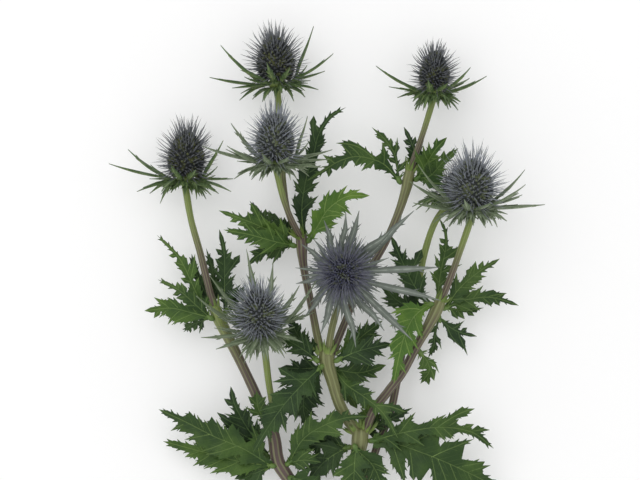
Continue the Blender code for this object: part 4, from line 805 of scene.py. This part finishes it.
def toothed_side(length, half, teeth, bite):
    """One edge of a blade: its notches and the points of its large teeth, as (s, w) pairs."""
    def width(t):
        if t < WIDEST:
            return half * (BASE_WIDTH + (1.0 - BASE_WIDTH) * math.sin(0.5 * math.pi * t / WIDEST))
        return half * (1.0 - ((t - WIDEST) / (1.0 - WIDEST)) ** 1.7)

    side = [(0.0, width(0.0))]
    step = TOOTHED / max(teeth, 1)
    for k in range(teeth):
        notch = FIRST_NOTCH + k * step
        point = notch + TOOTH_POINT * step
        side.append((notch * length, width(notch) * (1.0 - bite)))
        side.append((point * length, width(point) * (1.0 + 0.4 * bite) + 0.4 * (1.0 - point)))
    if teeth == 0:
        side.append((WIDEST * length, width(WIDEST)))
    side.append((length, 0.0))
    return side


def spiny_outline(length, half, teeth, bite, rng):
    """A blade's outline with small teeth cut into the edges of its large ones."""
    edges = []
    for _ in range(2):
        coarse = toothed_side(length, half, teeth, bite)
        fine = [coarse[0]]
        for (s0, w0), (s1, w1) in zip(coarse, coarse[1:]):
            run = s1 - s0
            span = math.hypot(run, w1 - w0)
            last = (s1, w1) == coarse[-1]
            count = int(span / TOOTH_STEP) if run > 0.5 * abs(w1 - w0) and w0 > 0.3 else 0
            ahead = Vector((run, w1 - w0)) / span
            out = Vector((-ahead.y, ahead.x))
            for i in range(count):
                t = (i + rng.uniform(0.45, 0.75)) / (count + 0.35)
                size = rng.uniform(0.9, 2.1) * min(1.0, half / 3.0)
                spot = Vector((s0 + run * t, w0 + (w1 - w0) * t))
                for forth, outward in TOOTH:
                    fine.append(tuple(spot + ahead * forth * size + out * outward * size))
            if not last and w1 > w0:
                fine.append((s1 + 0.9, w1 + 0.55))
            elif last:
                fine.append((s1 + 1.0, 0.0))
            else:
                fine.append((s1, w1))
        edges.append(fine)
    left, right = edges
    return left + [(s, -w) for s, w in reversed(right[:-1])]


class Axis:
    """The midrib of a blade or lobe on the flat outline."""

    def __init__(self, start, turn, side, length, half):
        self.start = Vector(start)
        self.along = Vector((math.cos(turn), side * math.sin(turn)))
        self.across = Vector((-self.along.y, self.along.x))
        self.length = length
        self.half = half

    def local(self, p):
        """How far along the midrib a place is, and how far to its left."""
        gap = p - self.start
        return gap.dot(self.along), gap.dot(self.across)

    def distance(self, p):
        """How far a place is from the midrib."""
        a, b = self.local(p)
        over = max(0.0, -a, a - self.length)
        return math.hypot(b, over)


def flat_leaf(length, half, teeth, lobes, rng):
    """Outlines and midribs of a blade and its lobes."""
    half = half * LEAF_WIDTH
    outlines = [spiny_outline(length, half, teeth, BITE, rng)]
    axes = [Axis((0.0, 0.0), 0.0, 1, length, half)]
    lobes = [(*lobe[:4], lobe[4] * LEAF_WIDTH, lobe[5]) for lobe in lobes]
    for share in SIDE_LOBES:
        for side in (-1, 1):
            spot = share + rng.uniform(-0.05, 0.05) + 0.06 * side
            free = all(lobe[1] != side or abs(lobe[0] - spot) * length > 4.0 for lobe in lobes)
            if free and length > LOBED_LENGTH:
                reach = (half * rng.uniform(1.5, 2.2) + 2.2) * (1.25 - 1.05 * spot)
                lobes.append((spot, side, reach, rng.uniform(36, 52), 0.18 * reach + 0.3, 0))
    for along, side, reach, angle, lobe_half, lobe_teeth in lobes:
        turn = math.radians(angle)
        lobe = spiny_outline(reach, lobe_half, lobe_teeth, LOBE_BITE, rng)
        axis = Axis((along * length, 0.0), turn, side, reach, lobe_half)
        axes.append(axis)
        outlines.append([tuple(axis.start + axis.along * s + axis.across * w) for s, w in lobe])
    return outlines, axes


def flat_triangles(outlines, axes):
    """Triangles of the outlines' union, fine enough to bend, with the midribs as edges."""
    verts, edges, faces = [], [], []
    for outline in outlines:
        area = sum(a[0] * b[1] - b[0] * a[1] for a, b in zip(outline, outline[1:] + outline[:1]))
        loop = outline if area > 0 else outline[::-1]
        faces.append(list(range(len(verts), len(verts) + len(loop))))
        verts += [Vector(p) for p in loop]
    low = [min(v[k] for v in verts) for k in range(2)]
    high = [max(v[k] for v in verts) for k in range(2)]
    for axis in axes:
        steps = max(2, round(axis.length / SHEET_STEP))
        start = len(verts)
        for i in range(steps + 1):
            verts.append(axis.start + axis.along * (axis.length * 0.98 * i / steps))
        edges += [(start + i, start + i + 1) for i in range(steps)]
    row = 0
    y = low[1]
    while y < high[1]:
        x = low[0] + (0.5 * SHEET_STEP if row % 2 else 0.0)
        while x < high[0]:
            point = Vector((x, y))
            gaps = [(axis.distance(point), axis.half) for axis in axes]
            near = any(gap < 1.3 * half + 0.8 for gap, half in gaps)
            if near and all(gap > RIB_ROOM for gap, _ in gaps):
                verts.append(point)
            x += SHEET_STEP
        y += SHEET_STEP * 0.87
        row += 1
    flat, _, tris, *_ = delaunay_2d_cdt(verts, edges, faces, 1, MERGE)
    used = sorted({i for tri in tris for i in tri})
    index = {old: new for new, old in enumerate(used)}
    return [flat[i] for i in used], [tuple(index[i] for i in tri) for tri in tris]


def nearest_axis(axes, p):
    """The midrib that a place on the flat leaf belongs to."""
    return min(axes, key=lambda axis: axis.distance(p) / axis.half)


def leaf_lift(s, w):
    """How high a place on the flat leaf stands by its fold and its slow wave."""
    wave = math.sin(WAVE_TURN * s + (1.3 if w > 0 else 0.0)) * min(1.0, abs(w) / 4)
    return abs(w) * FOLD + WAVE * wave


def add_blade(shape, rib, outlines, axes, slot):
    """A thin blade on its rib: folded along the midribs, quilted between the veins and waved."""
    flat, tris = flat_triangles(outlines, axes)
    middle, outs = [], []
    for p in flat:
        s, w = p
        point, side, out = rib.at(s)
        a, b = nearest_axis(axes, p).local(p)
        lift = leaf_lift(s, w) - GROOVE * math.exp(-(b / 0.7) ** 2)
        phase = (a - VEIN_LEAN * abs(b)) / VEIN_STEP + (0.5 if b > 0 else 0.0)
        lift += QUILT * math.cos(math.tau * phase) * smoothstep(0.4, 1.6, abs(b))
        middle.append(point + side * w + out * lift)
        outs.append(Vector())
    for i, j, k in tris:
        normal = (middle[j] - middle[i]).cross(middle[k] - middle[i])
        for n in (i, j, k):
            outs[n] += normal
    count = len(middle)
    half = 0.5 * BLADE
    verts = []
    for sign in (1, -1):
        for point, out in zip(middle, outs):
            verts.append(point + (out.normalized() if out.length > 1e-9 else UP) * half * sign)
    faces, spots, uses = [], [], {}
    for tri in tris:
        centre = (flat[tri[0]] + flat[tri[1]] + flat[tri[2]]) / 3
        nearest = nearest_axis(axes, centre)
        corners = [nearest.local(flat[n]) for n in tri]
        faces.append(tri)
        spots.append(corners)
        faces.append(tuple(n + count for n in reversed(tri)))
        spots.append(corners[::-1])
        for a, b in zip(tri, tri[1:] + tri[:1]):
            uses[(a, b)] = nearest
    for (a, b), nearest in uses.items():
        if (b, a) not in uses:
            faces.append((b, a, a + count, b + count))
            ca, cb = nearest.local(flat[a]), nearest.local(flat[b])
            spots.append([cb, ca, ca, cb])
    shape.add(verts, faces, spots, slot)


def add_midribs(shape, rib, axes, slot):
    """A raised rib under each midrib of a blade."""
    for axis in axes:
        steps = max(4, round(axis.length / 3.0))
        points, radii = [], []
        for i in range(steps + 1):
            t = i / steps * 0.93
            p = axis.start + axis.along * axis.length * t
            point, side, out = rib.at(p.x)
            points.append(point + side * p.y + out * (leaf_lift(p.x, p.y) - RIB_DROP))
            radii.append(RIB_RADIUS * (1.0 - 0.75 * t) * min(1.0, 0.45 + axis.half / 9.0))
        add_tube(shape, points, radii, 8, slot)


def add_tube(shape, points, radii, sides, slot):
    """A round tube of changing radius, closed at both ends."""
    verts = []
    for point, radius, (_, side, other) in zip(points, radii, carried_frames(points)):
        verts += ring(point, side, other, radius, sides)
    faces, spots = ring_faces(len(points), sides, True, True)
    shape.add(verts, faces, spots, slot)


def add_foot(shape, foot, aim, rng, slot):
    """The clasping base of a leaf, with a few bristles round it."""
    foot = Vector(foot)
    start, tip = foot - aim * 3.4, foot + aim * 3.2
    points = [start.lerp(tip, i / 8) for i in range(9)]
    radii = [FOOT_RADIUS * share for share in (0.3, 0.7, 0.93, 1.0, 0.95, 0.82, 0.66, 0.5, 0.3)]
    add_tube(shape, points, radii, 14, slot)
    for _ in range(FOOT_BRISTLES):
        way = scatter(rng, 1)
        way = (way - aim * way.dot(aim)).normalized()
        way = (way + aim * rng.uniform(0.2, 1.1)).normalized()
        reach = rng.uniform(2.2, 4.6)
        spike(shape, foot + way * 1.2, foot + way * (FOOT_RADIUS + reach), 0.4, slot)


def build_leaf(name, number):
    """One leaf: toothed blades with their midribs, spread from a clasping base."""
    foot, blades = LEAVES[name]
    rng = random.Random(300 + number)
    shape = Shape()
    aim = Vector()
    tones = LEAF_TONES.get(name, ("mid",))
    mats = [LEAF_MATS[tone] for tone in tones] + [RIB_MAT]
    for k, (path, half, teeth, lobes) in enumerate(blades):
        way = (Vector(path[0]) - Vector(foot)).normalized()
        aim += way
        rib = Rib([tuple(Vector(foot) + way * 0.6)] + path)
        outlines, axes = flat_leaf(rib.length, half, teeth, lobes, rng)
        add_blade(shape, rib, outlines, axes, k % len(tones))
        add_midribs(shape, rib, axes, len(tones))
    add_foot(shape, foot, aim.normalized(), rng, len(tones))
    shape.finish(name + "_blades", name, "leaf", mats, 60.0)


def add_sheath(shape, foot, ahead, radius, rng, slot):
    """Pointed green scales that clasp the foot of a branch."""
    _, side, other = head_frame(ahead)
    for i in range(SHEATH_SCALES):
        out = spoke(side, other, math.tau * (i + rng.uniform(0, 0.7)) / SHEATH_SCALES)
        start = foot + out * radius * 0.8 - ahead * 1.5
        tip = foot + out * (radius + rng.uniform(0.8, 4.2)) + ahead * rng.uniform(3.5, 8.5)
        spike(shape, start, tip, 0.9, slot, flat=0.4, bow=out * 0.5)


def build_stem(name, number):
    """A ribbed stem through its rings, rounded at its upper end and run on into what carries it."""
    rows = [list(row) for row in STEMS[name]]
    rng = random.Random(500 + number)
    cut = name == "main_stem"
    if not cut:
        way = (Vector(rows[0][:3]) - Vector(rows[1][:3])).normalized()
        rows[0] = [*(Vector(rows[0][:3]) + way * SEATED), rows[0][3]]
    path = smooth_path(rows, STEM_STEP)
    points = [Vector(p[:3]) for p in path]
    radii = [p[3] for p in path]
    frames = carried_frames(points)
    rings = []
    if cut:
        rings += [(points[0], frames[0], radii[0] * share) for share in (0.35, 0.8, 0.96)]
    rings += list(zip(points, frames, radii))
    end, end_frame, end_radius = rings[-1]
    for height, share in ((0.22, 0.95), (0.42, 0.8), (0.55, 0.5)):
        rings.append((end + end_frame[0] * end_radius * height, end_frame, end_radius * share))
    verts, marks = [], []
    travelled, before = 0.0, rings[0][0]
    turn = rng.uniform(0, math.tau)
    waver = rng.uniform(0, math.tau)
    for point, (_, side, other), radius in rings:
        travelled += (point - before).length
        before = point
        marks.append(travelled)
        for j in range(STEM_SIDES):
            a = math.tau * j / STEM_SIDES
            ridge = math.cos(STEM_RIBS * a + turn + 0.012 * travelled)
            swell = 1.0 + RIB_DEPTH * ridge + 0.012 * math.sin(0.31 * travelled + 2 * a + waver)
            verts.append(point + spoke(side, other, a) * radius * swell)
    faces, spots = ring_faces(len(rings), STEM_SIDES, True, True)
    total = marks[-1]
    spots = [[(u, marks[v] / total) for u, v in face] for face in spots]
    shape = Shape()
    shape.add(verts, faces, spots)
    if cut:
        end_faces = 2 * STEM_SIDES
        shape.slots[:end_faces] = [1] * end_faces
        shape.slots[-2] = 1
    else:
        foot = STEMS[name][0]
        add_sheath(shape, Vector(foot[:3]), -way, foot[3], rng, 1)
    bark = stem_material(name, *STEM_LOOKS[name], total, turn)
    mats = [bark, CUT_MAT if cut else BRACT_MATS["sheath"]]
    slot = "stalk" if name.startswith("stalk") else "stem"
    shape.finish(name + "_bark", name, slot, mats, 60.0)


class Surface:
    """A procedural material in the making: its shader, and short calls for its nodes."""

    def __init__(self, name, roughness, specular=0.4):
        self.mat = bpy.data.materials.new(name)
        self.mat.use_nodes = True
        self.tree = self.mat.node_tree
        self.shader = self.tree.nodes["Principled BSDF"]
        self.shader.inputs["Roughness"].default_value = roughness
        self.shader.inputs["Specular IOR Level"].default_value = specular
        self.spots = self.tree.nodes.new("ShaderNodeUVMap")
        self.spots.uv_map = "spots"
        self.body = self.tree.nodes.new("ShaderNodeTexCoord")

    def link(self, source, socket):
        if isinstance(source, (int, float)):
            socket.default_value = source
        elif isinstance(source, tuple):
            socket.default_value = (*source, 1.0) if socket.type == "RGBA" else source
        else:
            self.tree.links.new(source, socket)

    def node(self, kind, inputs, output=0, **settings):
        """One output of a new node that has these settings and inputs."""
        node = self.tree.nodes.new("ShaderNode" + kind)
        for key, value in settings.items():
            setattr(node, key, value)
        for key, source in inputs.items():
            self.link(source, node.inputs[key])
        return node.outputs[output]

    def math(self, operation, *values):
        return self.node("Math", dict(enumerate(values)), operation=operation)

    def fade(self, value, low, high, at_low=0.0, at_high=1.0):
        values = dict(enumerate((value, low, high, at_low, at_high)))
        return self.node("MapRange", values, interpolation_type="SMOOTHSTEP")

    def mix(self, share, a, b):
        return self.node("Mix", {0: share, 6: a, 7: b}, 2, data_type="RGBA")

    def noise(self, scale, detail=3.0, source=None):
        source = source or self.body.outputs["Object"]
        return self.node("TexNoise", {"Vector": source, "Scale": scale, "Detail": detail}, "Fac")

    def axes(self):
        """The two directions of the texture places."""
        first = self.node("SeparateXYZ", {0: self.spots.outputs[0]})
        return first, first.node.outputs[1]

    def stretched(self, x, y):
        """Texture places with each direction stretched by its own factor."""
        return self.node("Mapping", {"Scale": (x, y, 1.0), "Vector": self.spots.outputs[0]})

    def finish(self, colour, height=None, depth=0.0):
        """The material with its colour, and with a relief of this depth in millimetres."""
        self.link(colour, self.shader.inputs["Base Color"])
        if height is not None:
            relief = {"Distance": depth * MM, "Strength": 1.0, "Height": height}
            self.link(self.node("Bump", relief), self.shader.inputs["Normal"])
        return self.mat


def leaf_material(name, dark, light, vein):
    """Green blade: blotched, with a pale midrib, pale side veins and a slight gloss."""
    s = Surface(name, 0.5, 0.24)
    a, b = s.axes()
    off = s.math("ABSOLUTE", b)
    blotch = s.fade(s.noise(55.0, 4.0), 0.38, 0.66)
    base = s.mix(blotch, dark, light)
    grain = s.fade(s.noise(900.0, 2.0), 0.3, 0.7, 0.0, 0.35)
    base = s.mix(grain, base, dark)
    rib = s.fade(off, 0.12, 0.45, 1.0, 0.0)
    phase = s.math("ADD", s.math("DIVIDE", s.math("MULTIPLY_ADD", off, -VEIN_LEAN, a), VEIN_STEP),
                   s.math("MULTIPLY", s.math("GREATER_THAN", b, 0.0), 0.5))
    gap = s.math("ABSOLUTE", s.math("SUBTRACT", s.math("FRACT", phase), 0.5))
    line = s.fade(gap, 0.01, 0.07, 0.5, 0.0)
    line = s.math("MULTIPLY", line, s.fade(off, 0.5, 7.0, 1.0, 0.2))
    pale = s.math("MAXIMUM", rib, line)
    colour = s.mix(s.math("MULTIPLY", pale, 0.6), base, vein)
    relief = s.math("MULTIPLY", s.noise(700.0, 3.0), 0.5)
    height = s.math("ADD", s.math("MULTIPLY", pale, 0.5), relief)
    return s.finish(colour, height, 0.25)


def rib_material():
    """The pale green of midribs and leaf bases."""
    s = Surface("pale_rib", 0.45)
    shade = s.fade(s.noise(160.0, 3.0), 0.35, 0.65)
    colour = s.mix(shade, (0.065, 0.13, 0.025), (0.14, 0.22, 0.05))
    return s.finish(colour, s.noise(900.0), 0.1)


def spine_material(name, root, middle, tip):
    """A stiff spine: from its root's colour to its tip's along its length."""
    s = Surface(name, 0.5)
    _, v = s.axes()
    colour = s.mix(s.fade(v, 0.05, 0.45), root, middle)
    colour = s.mix(s.fade(v, 0.55, 1.0), colour, tip)
    shade = s.fade(s.noise(420.0, 2.0), 0.38, 0.66, 0.0, 0.85)
    colour = s.mix(shade, colour, root)
    return s.finish(colour)


def floret_material(name, gap_shade, knob, green):
    """Buds: dark at their feet between them as painted shade in the gaps, lighter on their knobs, with
    olive ones among the blue.
    """
    s = Surface(name, 0.62, 0.25)
    _, v = s.axes()
    # Painted shade: each bud and its sepals darken towards their feet, in the gaps between the buds.
    colour = s.mix(s.fade(v, 0.2, 0.9), gap_shade, knob)
    olive = s.fade(s.noise(260.0, 2.0), 0.5, 0.62, 0.0, 0.75)
    colour = s.mix(olive, colour, green)
    return s.finish(colour, s.noise(1500.0, 2.0), 0.12)


def bract_material(name, edge, middle, line):
    """Bracts: a pale line along the middle, and edges and tips of a darker colour."""
    s = Surface(name, 0.5)
    _, b = s.axes()
    off = s.math("ABSOLUTE", b)
    colour = s.mix(s.fade(off, 0.25, 0.9), middle, edge)
    colour = s.mix(s.fade(off, 0.04, 0.22, 0.85, 0.0), colour, line)
    shade = s.fade(s.noise(240.0, 3.0), 0.4, 0.65, 0.0, 0.55)
    colour = s.mix(shade, colour, edge)
    return s.finish(colour, s.noise(800.0), 0.08)


def stem_material(name, low, high, low_end, high_end, length, turn):
    """Stem: pale ribs between darker grooves, turning from one colour to another along it."""
    s = Surface(name + "_bark", 0.45)
    u, v = s.axes()
    streak = s.noise(1.0, 4.0, s.stretched(26.0, length * 0.02))
    along = s.math("ADD", v, s.math("MULTIPLY", s.math("SUBTRACT", streak, 0.5), 0.6))
    colour = s.mix(s.fade(along, low_end, high_end), low, high)
    wave = s.math("COSINE", s.math("MULTIPLY_ADD", u, math.tau * STEM_RIBS, turn))
    ridge = s.fade(wave, -0.2, 1.0, 0.0, 0.5)
    colour = s.mix(ridge, colour, (0.30, 0.33, 0.15))
    fine = s.noise(1.0, 3.0, s.stretched(90.0, length * 0.06))
    colour = s.mix(s.fade(fine, 0.45, 0.75, 0.0, 0.6), colour, (0.045, 0.035, 0.028))
    return s.finish(colour, fine, 0.2)


def cut_material():
    """The cut end: pale pith in a greener ring."""
    s = Surface("cut_end", 0.7)
    shade = s.fade(s.noise(420.0, 3.0), 0.35, 0.65)
    return s.finish(s.mix(shade, (0.50, 0.52, 0.30), (0.34, 0.38, 0.17)), s.noise(1200.0), 0.2)


def floor_material():
    """A plain pale surface, lit through from below like a light table."""
    s = Surface("pale_floor", 0.85, 0.1)
    s.shader.inputs["Emission Color"].default_value = (1.0, 1.0, 1.0, 1.0)
    s.shader.inputs["Emission Strength"].default_value = FLOOR_GLOW
    return s.finish(s.mix(s.noise(3.0), (0.78, 0.78, 0.78), (0.79, 0.79, 0.79)))


GREEN_STALK = (0.20, 0.27, 0.06)
PURPLE_STALK = (0.105, 0.070, 0.064)
OLIVE_STALK = (0.17, 0.18, 0.07)

# Each stem's colour at its lower and upper end, and where along it the one turns into the other.
STEM_LOOKS = {
    "main_stem": (PURPLE_STALK, OLIVE_STALK, 0.5, 0.95),
    "centre_branch": (OLIVE_STALK, OLIVE_STALK, 0.2, 0.8),
    "left_branch": (PURPLE_STALK, GREEN_STALK, 0.72, 1.0),
    "right_branch": (PURPLE_STALK, OLIVE_STALK, 0.6, 1.0),
    "far_right_branch": (PURPLE_STALK, GREEN_STALK, 0.45, 0.8),
    "upper_branch": (OLIVE_STALK, PURPLE_STALK, 0.1, 0.4),
    "upper_right_branch": (PURPLE_STALK, OLIVE_STALK, 0.6, 0.95),
    "stalk_1": (PURPLE_STALK, GREEN_STALK, 0.2, 0.7),
    "stalk_2": (PURPLE_STALK, GREEN_STALK, 0.3, 0.8),
    "stalk_3": (PURPLE_STALK, GREEN_STALK, 0.3, 0.85),
    "stalk_4": (PURPLE_STALK, GREEN_STALK, 0.3, 0.85),
    "stalk_5": (PURPLE_STALK, GREEN_STALK, 0.3, 0.8),
    "stalk_6": (OLIVE_STALK, GREEN_STALK, 0.1, 0.5),
    "stalk_7": (OLIVE_STALK, GREEN_STALK, 0.4, 0.9),
}


def shades(maker, kind, rows):
    """One material of a kind for each row of colours."""
    return {key: maker(kind + "_" + key, *colours) for key, colours in rows.items()}


LEAF_MATS = shades(leaf_material, "leaf", {
    "dark": ((0.013, 0.034, 0.009), (0.034, 0.072, 0.016), (0.09, 0.15, 0.05)),
    "mid": ((0.022, 0.053, 0.011), (0.058, 0.112, 0.020), (0.13, 0.20, 0.055)),
    "fresh": ((0.034, 0.078, 0.013), (0.082, 0.150, 0.024), (0.16, 0.25, 0.06)),
    "bright": ((0.058, 0.130, 0.018), (0.125, 0.225, 0.030), (0.22, 0.32, 0.08)),
})
SPINE_MATS = shades(spine_material, "spine", {
    "slate": ((0.072, 0.078, 0.078), (0.175, 0.185, 0.205), (0.15, 0.16, 0.14)),
    "pale": ((0.150, 0.165, 0.165), (0.270, 0.290, 0.335), (0.29, 0.31, 0.32)),
    "violet": ((0.060, 0.062, 0.085), (0.145, 0.152, 0.195), (0.15, 0.17, 0.16)),
})
# Each row: the painted shade in the gaps between the buds, the knobs' colour and the olive buds'
# colour.
FLORET_MATS = shades(floret_material, "floret", {
    "slate": ((0.022, 0.025, 0.026), (0.080, 0.086, 0.098), (0.13, 0.145, 0.045)),
    "pale": ((0.040, 0.046, 0.044), (0.150, 0.160, 0.185), (0.16, 0.19, 0.09)),
    "violet": ((0.020, 0.020, 0.032), (0.090, 0.095, 0.160), (0.15, 0.17, 0.09)),
})
BRACT_MATS = shades(bract_material, "bract", {
    "green": ((0.055, 0.10, 0.035), (0.12, 0.18, 0.06), (0.25, 0.31, 0.13)),
    "grey": ((0.115, 0.155, 0.085), (0.20, 0.25, 0.15), (0.36, 0.40, 0.30)),
    "blue": ((0.105, 0.125, 0.105), (0.17, 0.20, 0.165), (0.34, 0.37, 0.33)),
    "hub": ((0.17, 0.24, 0.06), (0.25, 0.32, 0.08), (0.33, 0.38, 0.12)),
    "sheath": ((0.10, 0.16, 0.03), (0.17, 0.24, 0.05), (0.27, 0.33, 0.10)),
})
RIB_MAT = rib_material()
CUT_MAT = cut_material()


def add_floor():
    """A pale surface far wider than the view."""
    mesh = bpy.data.meshes.new("floor")
    corners = [(x * FLOOR_HALF, y * FLOOR_HALF, 0.0) for x, y in ((-1, -1), (1, -1), (1, 1), (-1, 1))]
    mesh.from_pydata(corners, [], [(0, 1, 2, 3)])
    layer = mesh.uv_layers.new(name="spots")
    layer.data.foreach_set("uv", [0.0, 0.0, 1.0, 0.0, 1.0, 1.0, 0.0, 1.0])
    mesh.materials.append(floor_material())
    floor = put("floor", mesh)


def add_lights():
    """Even studio light from all round, and one large soft light above to the left."""
    world = bpy.data.worlds.new("studio")
    world.use_nodes = True
    back = world.node_tree.nodes["Background"]
    back.inputs["Color"].default_value = (1.0, 1.0, 1.0, 1.0)
    back.inputs["Strength"].default_value = WORLD_STRENGTH
    bpy.context.scene.world = world
    data = bpy.data.lights.new("soft_light", "AREA")
    data.shape = "DISK"
    data.size = LIGHT_SIZE
    data.energy = LIGHT_POWER
    light = put("soft_light", data)
    light.location = LIGHT_PLACE
    light.rotation_euler = (-light.location).to_track_quat("-Z", "Y").to_euler()


def add_camera():
    """Looking straight down, with the photograph's framing."""
    data = bpy.data.cameras.new("camera")
    data.sensor_width = SENSOR
    data.lens = SENSOR * (CAMERA_HEIGHT - MID_HEIGHT) / VIEW_WIDTH
    data.clip_end = 100.0
    camera = put("camera", data)
    camera.location = place((0.0, 0.0, CAMERA_HEIGHT))
    bpy.context.scene.camera = camera


add_camera()
add_floor()
add_lights()
bpy.context.scene.view_settings.view_transform = "Standard"
for number, name in enumerate(STEMS):
    build_stem(name, number)
for number, name in enumerate(LEAVES):
    build_leaf(name, number)
for number, name in enumerate(HEADS):
    build_bracts(name, number)
    build_cone(name, number)
